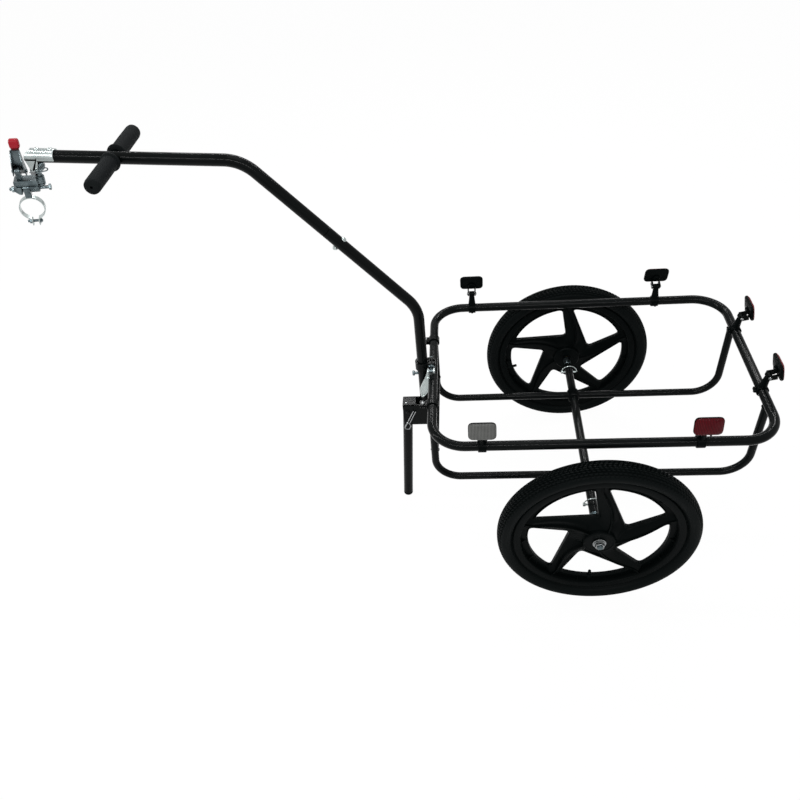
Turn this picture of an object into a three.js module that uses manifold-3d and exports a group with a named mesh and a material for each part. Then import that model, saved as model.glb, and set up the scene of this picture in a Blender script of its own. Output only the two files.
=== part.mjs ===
// Cargo bike trailer: a bent tube frame on two 16 inch wheels. A high drawbar leads to a seat post coupling,
// a stand holds the nose up and six reflectors sit on the rails. Millimetres, X back, Y right, Z up,
// drawn over the point on the ground below the middle of the axle.
import * as THREE from 'three';
import { mergeVertices } from 'three/addons/utils/BufferGeometryUtils.js';
import Module from 'manifold-3d';

// Counts and angles
const wheelSides = 32;
const hubSides = 16;
const tubeSides = 12;
const boreSides = 8;
const rodSides = 10;
const smallSides = 8;
const wireSides = 6;
const bendSteps = 5;
const smallBendSteps = 3;
const cornerSteps = 2;
const curlSteps = 8;
const curlSides = 5;
const bailSteps = 6;
const spokeCount = 5;

// Fits
const gap = 0.3;
const overrun = 20;

// Wheels
const tyreRadius = 200;
const tyreWidth = 47;
const tyreWall = 3.5;
const wheelTrack = 567;
const rimFlangeRadius = 168;
const rimFlangeWall = 3;
const rimWidth = 30;
const rimInnerRadius = 150;
const rimWall = 4;
const webThickness = 14;
const webOverlap = 2;
const windowInnerRadius = 57;
const windowOuterRadius = 138;
const windowCorner = 11;
const windowStart = THREE.MathUtils.degToRad(25);
const windowSweep = THREE.MathUtils.degToRad(61.6);
const hubRadius = 31;
const hubFootRadius = 38;
const hubOuterReach = 24;
const hubInnerReach = 22;
const bushRadius = 8;
const valveRadius = 3.2;
const valveLength = 22;
const leftValveTurn = THREE.MathUtils.degToRad(268);
const rightValveTurn = THREE.MathUtils.degToRad(196);
const bushEnd = 0.5;
const rimShares = [0, 0.33, 0.67, 1];
const innerCornerShare = -0.06;
// Side of the tyre as shares of its bulge past the bead and of its height over the rim, a bead point first
const tyreShares = [[0, 0.02], [0.7, 0.12], [1, 0.42], [0.62, 0.86]];
const casingShares = [[0, 0.02], [0.6, 0.16], [0.95, 0.42], [0.3, 0.95]];
const innerTubeShares = [casingShares[0], ...casingShares.slice(-2)];
const innerTubeShare = 0.94;
const innerTubeMiddleShare = 0.3;

// Axle
const axleTubeRadius = 9.5;
const axleTubeReach = 235;
const stubRadius = 6;
const stubDepth = 45;
const stubShoulderRadius = 9;
const washerRadius = 12;
const washerThickness = 1.6;
const nutRadius = 9;
const nutHeight = 8;
const threadEnd = 2.5;
const lockPinRadius = 2.2;
const lockPinReach = 17;
const lockPinInset = 25;
const lockPinHeadRadius = 4;
const lockPinHeadLength = 5;
const bailWireRadius = 1.2;
const bailRadius = 18;
const sleeveRadius = 13;
const sleeveLength = 25;

// Upper frame
const frameFront = 322;
const frameRear = 326;
const frameHalfWidth = 224;
const railHeight = 394;
const railRadius = 9.5;
const railWall = 1.5;
const railBend = 66;
const seamSide = 12;
const spigotLength = 35;
const shoulderLength = 3;

// Side loops and lower crossbar
const loopSide = 125.5;
const loopRadius = 8;
const loopWall = 1.5;
const loopBend = 54;
const lowerBarHeight = 275;

// Crossbar clamps
const clampSide = 104;
const clampWidth = 16;
const clampWall = 2.5;
const clampEarReach = 13;
const clampEarWall = 3;
const clampEarGap = 3;
const clampBoltRadius = 2.5;
const clampBoltHeadRadius = 4.6;
const clampBoltHeadHeight = 3.5;

// Drawbar
const hitchReach = 997;
const hitchHeight = 915;
const upperCornerReach = 628.7;
const upperCornerHeight = 885;
const lowerCornerHeight = 558.6;
const drawbarFootHeight = 250;
const drawbarRadius = 11;
const drawbarWall = 1.5;
const drawbarBend = 76;
const drawbarStandOff = 1;
const jointAboveBend = 240;
const drawbarSpigot = 60;
const jointBoltInset = 34;
const jointBoltRadius = 3;
const jointBoltHeadRadius = 5.5;
const jointBoltHeadHeight = 3;
const jointNutHeight = 4;
const jointThreadEnd = 3;

// Drawbar collar with its quick release
const collarHeight = 20;
const collarWall = 4;
const collarSlit = 3;
const collarEarThickness = 10;
const collarEarMargin = 9;
const skewerSetback = 18.5;
const skewerRadius = 2.5;
const skewerNutRadius = 6.5;
const skewerNutLength = 9;
const cupRadius = 8;
const cupThickness = 4;
const camRadius = 4;
const camLength = 8;
const camPinRadius = 2;
const camStandOff = 12.2;
const cheekRadius = 6.5;
const cheekThickness = 3.5;
const leverThickness = 5;
const leverHalfWidth = 9.5;
const leverElbowForward = 17.5;
const leverElbowDrop = 9;
const leverTipForward = 18;
const leverTipDrop = 72;
const leverRecess = 1.2;
const leverRecessMargin = 2.8;
const tipShare = 0.82;
const dishShare = 0.8;
const yokeShare = 0.95;
const footPinDrop = 4;
const footPinRadius = 3;
const footPinHeadRadius = 5.5;
const footPinHeadLength = 5;
const footPinStandOff = 7;
const footPinTipInset = 4;

// Handle
const handleSetback = 146;
const handleRadius = 8;
const handleWall = 1.5;
const handleReach = 108;
const gripRadius = 14;
const gripStart = 15;
const gripFlangeRadius = 17;
const gripFlangeWidth = 5;
const gripEndWall = 3;
const gripVentRadius = 2.5;

// Hitch bracket, its pin and its clip
const bracketWall = 2;
const bracketSideClearance = 0.5;
const bracketFront = 8;
const bracketRear = 44;
const bracketSkirt = 3;
const lugFront = 6;
const lugRear = 12;
const lugDrop = 10;
const rivetRadius = 2.5;
const rivetHeadRadius = 4.5;
const rivetHeadHeight = 2;
const rivetDepth = 5;
const frontRivet = 15;
const rearRivet = 38;
const hitchPinSetback = 3;
const hitchPinDrop = 23;
const hitchPinRadius = 4;
const hitchPinHeadRadius = 7;
const hitchPinHeadLength = 3.5;
const hitchPinTail = 6;
const clipWireRadius = 1.2;
const hitchClipTail = 9;
const hitchClipLength = 32;
const clipBend = 4.4;
const clipLoopHeight = 11;
const clipLoopLength = 13;
const clipShoulder = 4;

// Coupling
const couplingTilt = THREE.MathUtils.degToRad(3.343);
const couplingTurn = THREE.MathUtils.degToRad(18);
const eyeRadius = 9;
const eyeClearance = 0.4;
const stemRadius = 5;
const stemLength = 30;
const stemFlangeRadius = 7;
const stemFlangeThickness = 3;
const headTopDrop = 17;
const headBottomDrop = 41;
const headFront = 46;
const headRear = 10;
const headHalfDepth = 14;
const swivelBoltDrop = 36;
const swivelBoltRadius = 3;
const swivelHeadRadius = 5.5;
const swivelHeadLength = 4;
const swivelNutLength = 5;
const swivelThreadEnd = 4;
const strapForward = 27;
const strapLugWidth = 12;
const strapLugRadius = 7;
const strapDrop = 38;
const strapOuterRadius = 22;
const strapWall = 2;
const strapWidth = 18;
const strapSlit = 9;
const strapEarWall = 2.5;
const strapEarLength = 13;
const strapBoltRadius = 2.5;
const strapBoltHeadRadius = 4.5;
const strapBoltHeadLength = 4;
const strapBoltEnd = 3;

// Release lever with its cap and spring
const leverLugForward = 33.5;
const leverLugWidth = 9;
const leverLugRadius = 6;
const leverPivotRise = 14;
const channelForward = 30;
const channelWidth = 23;
const channelWall = 2;
const channelFrontDepth = 8;
const channelBackDepth = 10;
const channelRise = 35;
const channelFoot = 6;
const pivotPinRadius = 2.5;
const pivotPinEnd = 1.5;
const tabWidth = 12.2;
const tabHeight = 15;
const capWidth = 17;
const capDepth = 12;
const capHeight = 21;
const capCorner = 4;
const springWireRadius = 0.6;
const springRadius = 4.2;
const springPitch = 1.75;
const springTurns = 3.5;
const springTail = 6;

// Stand
const standLean = THREE.MathUtils.degToRad(4);
const standPivotForward = 62;
const standPivotRise = 40;
const standRadius = 11;
const standWall = 1.5;
const standHead = 12;
const sheetWall = 2.5;
const sheetSideClearance = 1.2;
const sheetForward = 10;
const sheetRise = 19.5;
const sheetTopBack = 29;
const standBoltRadius = 3;
const standBoltHeadRadius = 5.5;
const standBoltHeadLength = 4;
const standPinDrop = 30;
const standPinRadius = 2.6;
const standPinHeadRadius = 5;
const standPinHeadLength = 3;
const standPinTail = 5;
const standClipTail = 38;
const standClipLength = 20;
const standClipTurn = THREE.MathUtils.degToRad(114);
const notchSweep = THREE.MathUtils.degToRad(34);
const footHeight = 30;
const footFloor = 8;

// Reflectors
const reflectorWidth = 52;
const reflectorHeight = 36.5;
const reflectorThickness = 10;
const reflectorCorner = 9;
const reflectorRim = 2;
const lensInset = 2.5;
const reflectorStandOff = 13.5;
const reflectorRise = 18.5;
const reflectorLean = THREE.MathUtils.degToRad(12);
const reflectorHingeOut = 5;
const reflectorHingeLift = 36;
const reflectorClampWall = 2.4;
const reflectorClampWidth = 16;
const postFootRadius = 8;
const postTopRadius = 5.5;
const barrelRadius = 6;
const barrelWidth = 12;
const screwRadius = 1.8;
const earWall = 3;
const earHeight = 12;
const leftFrontReflector = 225;
const rightFrontReflector = 235;
const leftRearReflector = 177;
const rightRearReflector = 180;
const leftTailReflector = 86;
const rightTailReflector = 105;

// Finishes
const glossBlack = { color: 0x0a0b0c, roughness: 0.18, metalness: 0 };
const satinBlack = { color: 0x101414, roughness: 0.45, metalness: 0 };
const mattBlack = { color: 0x0d0e0e, roughness: 0.75, metalness: 0 };
const rubber = { color: 0x121615, roughness: 0.8, metalness: 0 };
const zinc = { color: 0xc4c9ca, roughness: 0.3, metalness: 1 };
const steel = { color: 0x9a9fa0, roughness: 0.35, metalness: 1 };
const brass = { color: 0xb08d45, roughness: 0.4, metalness: 1 };
const redPlastic = { color: 0xc4141c, roughness: 0.35, metalness: 0 };
const redLens = { color: 0x9c0c18, roughness: 0.12, metalness: 0 };
const clearLens = { color: 0xd9dcdc, roughness: 0.12, metalness: 0 };

const wasm = await Module();
wasm.setup();

const full = 2 * Math.PI;
const half = Math.PI;
const quarter = Math.PI / 2;
const axleHeight = tyreRadius * Math.cos(half / wheelSides);
const sides = { left: -1, right: 1 };

const at = (x, y, z) => new THREE.Vector3(x, y, z);

/** Radius of a polygon's corners when its flats lie at the radius asked for, as a bore's must. */
const bored = (radius, count) => radius / Math.cos(half / count);

/** Turns all triangles over if the closed surface faces inwards. */
function facingOut(points, triangles) {
  const [a, b, c] = [at(), at(), at()];
  let volume = 0;
  for (let i = 0; i < triangles.length; i += 3) {
    a.fromArray(points, 3 * triangles[i]);
    b.fromArray(points, 3 * triangles[i + 1]);
    c.fromArray(points, 3 * triangles[i + 2]);
    volume += a.dot(b.cross(c));
  }
  if (volume < 0) triangles.reverse();
  return triangles;
}

/** A closed geometry as a solid that can be joined and cut. */
function solid(geometry) {
  geometry.deleteAttribute('normal');
  geometry.deleteAttribute('uv');
  const merged = mergeVertices(geometry);
  const vertProperties = merged.attributes.position.array;
  const triVerts = facingOut(vertProperties, new Uint32Array(merged.index.array));
  return new wasm.Manifold(new wasm.Mesh({ numProp: 3, vertProperties, triVerts }));
}

const join = (first, ...others) => others.reduce((body, other) => body.add(other), first);
const cut = (first, ...others) => others.reduce((body, other) => body.subtract(other), first);

/** A block between two opposite corners. */
function block(low, high) {
  const size = high.clone().sub(low);
  const middle = high.clone().add(low).multiplyScalar(1 / 2);
  const geometry = new THREE.BoxGeometry(size.x, size.y, size.z);
  return solid(geometry.translate(middle.x, middle.y, middle.z));
}

/** A straight round bar between two points. A second radius makes it a cone. */
function bar(from, to, radius, count = rodSides, endRadius = radius) {
  const run = to.clone().sub(from);
  const geometry = new THREE.CylinderGeometry(endRadius, radius, run.length(), count);
  const turn = new THREE.Quaternion().setFromUnitVectors(at(0, 1, 0), run.clone().normalize());
  const middle = from.clone().addScaledVector(run, 1 / 2);
  return solid(geometry.applyQuaternion(turn).translate(middle.x, middle.y, middle.z));
}

/** The tool that drills a round hole with the given clear radius. */
const drill = (from, to, radius, count = boreSides) => bar(from, to, bored(radius, count), count);

/** A straight pipe, or a bushing, between two points. */
function pipe(from, to, radius, boreRadius, count = tubeSides) {
  const run = to.clone().sub(from).normalize().multiplyScalar(overrun);
  const tool = drill(from.clone().sub(run), to.clone().add(run), boreRadius);
  return cut(bar(from, to, radius, count), tool);
}

/** A solid of revolution about the Y axis. Points give radius and distance along Y, counted outboard. */
function turned(points, count, outboard = 1) {
  const profile = points.map(([radius, y]) => new THREE.Vector2(radius, y * outboard));
  return solid(new THREE.LatheGeometry(profile, count, half / count));
}

/** An outline drawn in X and Z, as seen from the left, thickened evenly to both sides of a middle point. */
function upright(outline, thickness, middle = at(0, 0, 0)) {
  const options = { depth: thickness, bevelEnabled: false, curveSegments: cornerSteps };
  const geometry = new THREE.ExtrudeGeometry(outline, options).translate(0, 0, -thickness / 2);
  return solid(geometry.rotateX(quarter).translate(middle.x, middle.y, middle.z));
}

/** Corner points of a regular polygon. */
function ring(radius, count) {
  const corner = (_, i) => {
    const turn = (i + 1 / 2) * full / count;
    return new THREE.Vector2(radius * Math.cos(turn), radius * Math.sin(turn));
  };
  return Array.from({ length: count }, corner);
}

/** A closed path through corners, each rounded off over a given distance. */
function roundedPath(corners, rounding) {
  const path = new THREE.Path();
  corners.forEach((corner, i) => {
    const before = corners.at(i - 1).clone().sub(corner).setLength(rounding).add(corner);
    const after = corners[(i + 1) % corners.length].clone().sub(corner).setLength(rounding).add(corner);
    if (i === 0) path.moveTo(before.x, before.y);
    else path.lineTo(before.x, before.y);
    path.quadraticCurveTo(corner.x, corner.y, after.x, after.y);
  });
  return path;
}

/** A rectangle with rounded corners round a middle point. */
function roundedRectangle(width, height, rounding) {
  const signs = [[-1, -1], [1, -1], [1, 1], [-1, 1]];
  const corners = signs.map(([x, y]) => new THREE.Vector2(x * width / 2, y * height / 2));
  return new THREE.Shape(roundedPath(corners, rounding).getPoints(cornerSteps));
}

/** A route that is known at its knots only, so that straight runs need no steps. */
class Route extends THREE.Curve {
  constructor(knots) {
    super();
    this.knots = knots;
    this.steps = knots.length - 1;
  }

  getPointAt(share, target = at()) {
    return target.copy(this.knots[Math.round(share * this.steps)].point);
  }

  getTangentAt(share, target = at()) {
    return target.copy(this.knots[Math.round(share * this.steps)].heading);
  }

  moved(matrix) {
    return new Route(this.knots.map(({ point, heading }) => ({
      point: point.clone().applyMatrix4(matrix),
      heading: heading.clone().transformDirection(matrix),
    })));
  }
}

/** The route of a tube bent at each inner corner of a line. */
function bentRoute(corners, bend, steps = bendSteps) {
  const heading = (i) => corners[i + 1].clone().sub(corners[i]).normalize();
  const knots = [{ point: corners[0], heading: heading(0) }];
  for (let i = 1; i < corners.length - 1; i += 1) {
    const before = heading(i - 1);
    const turn = before.angleTo(heading(i));
    const axis = before.clone().cross(heading(i)).normalize();
    const start = corners[i].clone().addScaledVector(before, -bend * Math.tan(turn / 2));
    const spoke = axis.clone().cross(before).multiplyScalar(-bend);
    const centre = start.clone().sub(spoke);
    for (let k = 0; k <= steps; k += 1) {
      const angle = turn * k / steps;
      const point = spoke.clone().applyAxisAngle(axis, angle).add(centre);
      knots.push({ point, heading: before.clone().applyAxisAngle(axis, angle) });
    }
  }
  knots.push({ point: corners.at(-1), heading: heading(corners.length - 2) });
  return new Route(knots);
}

/** A tube or, with no bore, a wire along a route. */
function tube(route, radius, boreRadius = 0, count = tubeSides) {
  const section = new THREE.Shape(ring(radius, count));
  if (boreRadius > 0) section.holes.push(new THREE.Path(ring(bored(boreRadius, boreSides), boreSides)));
  return solid(new THREE.ExtrudeGeometry(section, { steps: route.steps, extrudePath: route }));
}

/** Adds one named piece to a group. */
function piece(name, body, finish, group = trailer) {
  const { vertProperties, triVerts } = body.getMesh();
  const geometry = new THREE.BufferGeometry();
  geometry.setAttribute('position', new THREE.BufferAttribute(vertProperties, 3));
  geometry.setIndex(new THREE.BufferAttribute(triVerts, 1));
  const mesh = new THREE.Mesh(geometry, new THREE.MeshStandardMaterial(finish));
  mesh.name = name;
  group.add(mesh);
}

/** A group placed in another, turned about one of its axes. */
function placed(parent, position, axis, angle) {
  const group = new THREE.Group();
  group.position.copy(position);
  group.rotation[axis] = angle;
  parent.add(group);
  return group;
}

const trailer = new THREE.Group();
const drawbarX = -frameFront - railRadius - drawbarRadius - drawbarStandOff;
const footPinHeight = railHeight - footPinDrop;

// Upper frame: two bent halves that meet on the crossbars, the left one with spigots that enter the right one
const railBore = railRadius - railWall;

function frameHalf(side) {
  const reach = side * frameHalfWidth;
  const end = seamSide + (side > 0 ? gap : 0);
  const corners = [
    at(-frameFront, end, railHeight),
    at(-frameFront, reach, railHeight),
    at(frameRear, reach, railHeight),
    at(frameRear, end, railHeight),
  ];
  return tube(bentRoute(corners, railBend), railRadius, railBore);
}

function spigot(x) {
  const radius = railBore - gap;
  const start = at(x, seamSide - shoulderLength, railHeight);
  const inner = pipe(start, at(x, seamSide + spigotLength, railHeight), radius, radius - railWall);
  const shoulder = pipe(start, at(x, seamSide, railHeight), railBore + railWall / 2, radius - railWall);
  return join(inner, shoulder);
}

function upperFrame() {
  const footPin = drill(
    at(drawbarX, 0, footPinHeight),
    at(-frameFront, 0, footPinHeight),
    footPinRadius + gap,
  );
  const leftHalf = join(frameHalf(sides.left), spigot(-frameFront), spigot(frameRear));
  piece('frame_half_left', cut(leftHalf, footPin), glossBlack);
  piece('frame_half_right', frameHalf(sides.right), glossBlack);
}

// Side loops: thinner tubes that hang from the crossbars and carry the axle tube in a sleeve
function sideLoop(side) {
  const y = side * loopSide;
  const corners = [
    at(-frameFront, y, railHeight),
    at(-frameFront, y, axleHeight),
    at(frameRear, y, axleHeight),
    at(frameRear, y, railHeight),
  ];
  const onAxle = (distance) => at(0, y + distance, axleHeight);
  const sleeve = bar(onAxle(-sleeveLength / 2), onAxle(sleeveLength / 2), sleeveRadius);
  const reach = sleeveLength / 2 + overrun;
  const bore = drill(onAxle(-reach), onAxle(reach), axleTubeRadius + gap);
  const cope = (x) => drill(
    at(x, y - reach, railHeight),
    at(x, y + reach, railHeight),
    railRadius + gap,
    rodSides,
  );
  const loop = tube(bentRoute(corners, loopBend), loopRadius, loopRadius - loopWall);
  return cut(join(loop, sleeve), bore, cope(-frameFront), cope(frameRear));
}

function lowerCrossbar() {
  const end = (side) => at(-frameFront, side * loopSide, lowerBarHeight);
  const riser = (side) => drill(
    at(-frameFront, side * loopSide, lowerBarHeight - overrun),
    at(-frameFront, side * loopSide, lowerBarHeight + overrun),
    loopRadius + gap,
    rodSides,
  );
  const whole = pipe(end(sides.left), end(sides.right), loopRadius, loopRadius - loopWall);
  return cut(whole, riser(sides.left), riser(sides.right));
}

function lowerFrame() {
  piece('side_loop_left', sideLoop(sides.left), glossBlack);
  piece('side_loop_right', sideLoop(sides.right), glossBlack);
  piece('front_crossbar', lowerCrossbar(), glossBlack);
}

// Axle tube with a cross hole for each wheel's lock pin
const lockPinSide = axleTubeReach - lockPinInset;

function lockPinHole(y, z) {
  return drill(at(-overrun, y, z), at(overrun, y, z), lockPinRadius + gap, smallSides);
}

function axleTube() {
  const end = (side) => at(0, side * axleTubeReach, axleHeight);
  const whole = pipe(end(sides.left), end(sides.right), axleTubeRadius, stubRadius + gap);
  const holes = Object.values(sides).map((side) => lockPinHole(side * lockPinSide, axleHeight));
  piece('axle_tube', cut(whole, ...holes), glossBlack);
}

// Clamps on the front crossbar, each closed by a bolt through two ears that point forward
function crossbarClamp(side) {
  const y = side * clampSide;
  const low = y - clampWidth / 2;
  const high = y + clampWidth / 2;
  const radius = railRadius + gap + clampWall;
  const tip = -frameFront - radius - clampEarReach;
  const band = bar(at(-frameFront, low, railHeight), at(-frameFront, high, railHeight), radius, tubeSides);
  const rise = clampEarGap / 2 + clampEarWall;
  const ears = block(at(tip, low, railHeight - rise), at(-frameFront, high, railHeight + rise));
  const slit = clampEarGap / 2;
  const slitTool = block(
    at(tip - overrun, low - overrun, railHeight - slit),
    at(-frameFront, high + overrun, railHeight + slit),
  );
  const bore = drill(
    at(-frameFront, low - overrun, railHeight),
    at(-frameFront, high + overrun, railHeight),
    railRadius + gap,
    tubeSides,
  );
  const boltX = tip + clampEarReach / 2;
  const head = rise + clampBoltHeadHeight;
  const on = (distance) => at(boltX, y, railHeight + distance);
  const bolt = join(
    bar(on(-head), on(head), clampBoltRadius, smallSides),
    bar(on(rise - gap), on(head), clampBoltHeadRadius, smallSides),
    bar(on(-head), on(-rise + gap), clampBoltHeadRadius, wireSides),
  );
  return join(cut(join(band, ears), bore, slitTool), bolt);
}

function clamps() {
  piece('clamp_left', crossbarClamp(sides.left), glossBlack);
  piece('clamp_right', crossbarClamp(sides.right), glossBlack);
}

// Drawbar: an upright foot, a slope and a level front end, in two tubes that meet on the slope
const hitchEnd = at(-hitchReach, 0, hitchHeight);
const upperCorner = at(-upperCornerReach, 0, upperCornerHeight);
const lowerCorner = at(drawbarX, 0, lowerCornerHeight);
const slope = upperCorner.clone().sub(lowerCorner).normalize();
const slopeNormal = slope.clone().cross(at(0, 1, 0)).negate();
const level = upperCorner.clone().sub(hitchEnd).normalize();
const levelUp = at(0, 1, 0).cross(level).negate();
const jointPoint = lowerCorner.clone().addScaledVector(slope, jointAboveBend);
const drawbarBore = drawbarRadius - drawbarWall;
const jointBoltPoint = jointPoint.clone().addScaledVector(slope, -jointBoltInset);

/** A point at a distance from another, along a direction. */
const along = (point, direction, distance) => point.clone().addScaledVector(direction, distance);

function jointBoltHole() {
  const reach = drawbarRadius + overrun;
  const from = along(jointBoltPoint, slopeNormal, -reach);
  return drill(from, along(jointBoltPoint, slopeNormal, reach), jointBoltRadius + gap, smallSides);
}

function drawbarLower() {
  const corners = [at(drawbarX, 0, drawbarFootHeight), lowerCorner, jointPoint];
  const whole = tube(bentRoute(corners, drawbarBend), drawbarRadius, drawbarBore);
  const footPin = drill(
    at(drawbarX - overrun, 0, footPinHeight),
    at(drawbarX + overrun, 0, footPinHeight),
    footPinRadius + gap,
    smallSides,
  );
  return cut(whole, jointBoltHole(), footPin);
}

function handleHole() {
  const centre = along(hitchEnd, level, handleSetback);
  const reach = at(0, drawbarRadius + overrun, 0);
  return drill(centre.clone().sub(reach), centre.clone().add(reach), handleRadius + gap, rodSides);
}

function rivetHole(setback) {
  const foot = along(hitchEnd, level, setback);
  return drill(foot, along(foot, levelUp, drawbarRadius + overrun), rivetRadius + gap, smallSides);
}

function drawbarUpper() {
  const start = along(jointPoint, slope, gap);
  const whole = tube(bentRoute([hitchEnd, upperCorner, start], drawbarBend), drawbarRadius, drawbarBore);
  const radius = drawbarBore - gap;
  const top = along(start, slope, shoulderLength);
  const inner = pipe(top, along(jointPoint, slope, -drawbarSpigot), radius, radius - drawbarWall);
  const shoulder = pipe(top, start, drawbarBore + drawbarWall / 2, radius - drawbarWall);
  return cut(
    join(whole, inner, shoulder),
    jointBoltHole(),
    handleHole(),
    rivetHole(frontRivet),
    rivetHole(rearRivet),
  );
}

function jointBolt() {
  const on = (distance) => along(jointBoltPoint, slopeNormal, distance);
  const seat = drawbarRadius + gap;
  const tail = seat + jointNutHeight + jointThreadEnd;
  return join(
    bar(on(-tail), on(seat + jointBoltHeadHeight), jointBoltRadius, smallSides),
    bar(on(seat), on(seat + jointBoltHeadHeight), jointBoltHeadRadius, rodSides),
    bar(on(-seat - jointNutHeight), on(-seat), jointBoltHeadRadius, wireSides),
  );
}

function footPin() {
  const headX = drawbarX - drawbarRadius - footPinStandOff;
  const on = (x) => at(x, 0, footPinHeight);
  return join(
    bar(on(headX - footPinHeadLength), on(-frameFront - footPinTipInset), footPinRadius, smallSides),
    bar(on(headX - footPinHeadLength), on(headX), footPinHeadRadius, rodSides),
  );
}

function drawbar() {
  piece('drawbar_lower', drawbarLower(), glossBlack);
  piece('drawbar_upper', drawbarUpper(), glossBlack);
  piece('drawbar_joint_bolt', jointBolt(), zinc);
  piece('drawbar_lock_pin', footPin(), zinc);
}

// Split collar on the crossbar that holds the drawbar upright, pinched by a quick release
const collarLow = railHeight + railRadius + gap;
const skewerX = drawbarX + skewerSetback;
const skewerZ = collarLow + collarHeight / 2 + gap;
const earReach = collarSlit / 2 + collarEarThickness;
const camY = -earReach - camStandOff;

function collar() {
  const radius = drawbarRadius + gap + collarWall;
  const high = collarLow + collarHeight;
  const body = bar(at(drawbarX, 0, collarLow), at(drawbarX, 0, high), radius, tubeSides);
  const ears = block(at(drawbarX, -earReach, collarLow), at(skewerX + collarEarMargin, earReach, high));
  const slit = block(
    at(drawbarX, -collarSlit / 2, collarLow - overrun),
    at(skewerX + overrun, collarSlit / 2, high + overrun),
  );
  const bore = drill(
    at(drawbarX, 0, collarLow - overrun),
    at(drawbarX, 0, high + overrun),
    drawbarRadius + gap,
    tubeSides,
  );
  const reach = earReach + overrun;
  const hole = drill(
    at(skewerX, -reach, skewerZ),
    at(skewerX, reach, skewerZ),
    skewerRadius + gap,
    smallSides,
  );
  return cut(join(body, ears), slit, bore, hole);
}

const camAxis = at(1, 0, 0);

/** Skewer with its nut, its cup washer and the cam barrel that the lever turns on. */
function skewer() {
  const on = (y) => at(skewerX, y, skewerZ);
  const nutEnd = earReach + gap + skewerNutLength;
  const cam = (reach, radius) => bar(
    along(on(camY), camAxis, -reach),
    along(on(camY), camAxis, reach),
    radius,
  );
  return join(
    bar(on(camY), on(nutEnd), skewerRadius, smallSides),
    bar(on(earReach + gap), on(nutEnd), skewerNutRadius, rodSides, skewerNutRadius - skewerRadius),
    bar(on(-earReach - gap - cupThickness), on(-earReach - gap), skewerNutRadius, rodSides, cupRadius),
    cam(camLength / 2, camRadius),
    cam(camLength / 2 + gap + cheekThickness, camPinRadius),
  );
}

/** Lever: two cheeks round the cam pin and a dished arm that passes in front of the crossbar. */
function quickLever() {
  const elbow = new THREE.Vector2(-leverElbowForward, -leverElbowDrop);
  const tip = new THREE.Vector2(-leverTipForward, -leverTipDrop);
  const first = elbow.clone().normalize();
  const second = tip.clone().sub(elbow).normalize();
  const offset = (point, direction, distance) => new THREE.Vector2(-direction.y, direction.x)
    .multiplyScalar(distance)
    .add(point);
  const middle = first.clone().add(second).normalize();
  const outline = (halfWidth, rear, front, end) => {
    const to = tip.clone().addScaledVector(second, -end);
    return new THREE.Shape([
      rear,
      offset(elbow, middle, halfWidth),
      offset(to, second, halfWidth * tipShare),
      offset(to, second, -halfWidth * tipShare),
      offset(elbow, middle, -halfWidth),
      front,
    ]);
  };
  const inner = camLength / 2 + gap;
  const yoke = new THREE.Vector2(camAxis.x, camAxis.z).multiplyScalar(inner + cheekThickness);
  const yokeFoot = tip.clone().setLength(cheekRadius * yokeShare).add(yoke);
  const arm = upright(outline(leverHalfWidth, yokeFoot, yoke.clone().negate(), 0), leverThickness);
  const dish = leverHalfWidth - leverRecessMargin;
  const dishTop = elbow.clone().multiplyScalar(dishShare);
  const recess = upright(
    outline(dish, offset(dishTop, first, dish), offset(dishTop, first, -dish), leverRecessMargin),
    leverRecess,
    at(0, -leverThickness / 2, 0),
  );
  const origin = at(0, 0, 0);
  const cheek = (side) => bar(
    along(origin, camAxis, side * inner),
    along(origin, camAxis, side * (inner + cheekThickness)),
    cheekRadius,
  );
  const room = bar(along(origin, camAxis, -inner), along(origin, camAxis, inner), cheekRadius + gap);
  const reach = inner + cheekThickness + overrun;
  const pinHole = drill(
    along(origin, camAxis, -reach),
    along(origin, camAxis, reach),
    camPinRadius + gap,
  );
  return cut(join(cut(arm, room, recess), cheek(-1), cheek(1)), pinHole);
}

function drawbarMount() {
  piece('drawbar_collar', collar(), glossBlack);
  piece('quick_release_skewer', skewer(), steel);
  const hub = placed(trailer, at(skewerX, camY, skewerZ), 'y', 0);
  piece('quick_release_lever', quickLever(), zinc, hub);
}

// Handle: a cross tube through the drawbar with a grip on each end
const handlePoint = along(hitchEnd, level, handleSetback);

function grip(side) {
  const on = (y) => handlePoint.clone().add(at(0, side * y, 0));
  const end = handleReach + gap + gripEndWall;
  const outside = join(
    bar(on(gripStart), on(end), gripRadius, tubeSides),
    bar(on(gripStart), on(gripStart + gripFlangeWidth), gripFlangeRadius, tubeSides),
  );
  const bore = drill(on(gripStart - overrun), on(handleReach + gap), handleRadius + gap);
  const vent = drill(on(handleReach), on(end + overrun), gripVentRadius, smallSides);
  return cut(outside, bore, vent);
}

function handle() {
  const on = (y) => handlePoint.clone().add(at(0, y, 0));
  const cross = pipe(on(-handleReach), on(handleReach), handleRadius, handleRadius - handleWall);
  piece('handle_tube', cross, glossBlack);
  piece('grip_left', grip(sides.left), mattBlack);
  piece('grip_right', grip(sides.right), mattBlack);
}

// Hitch bracket: a channel over the drawbar's end with two lugs in front, drawn along the drawbar
const hitch = placed(trailer, hitchEnd, 'y', Math.atan2(-level.z, level.x));
const bracketInner = drawbarRadius + bracketSideClearance;
const bracketTop = drawbarRadius + gap;
const bracketHalf = bracketInner + bracketWall;

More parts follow.
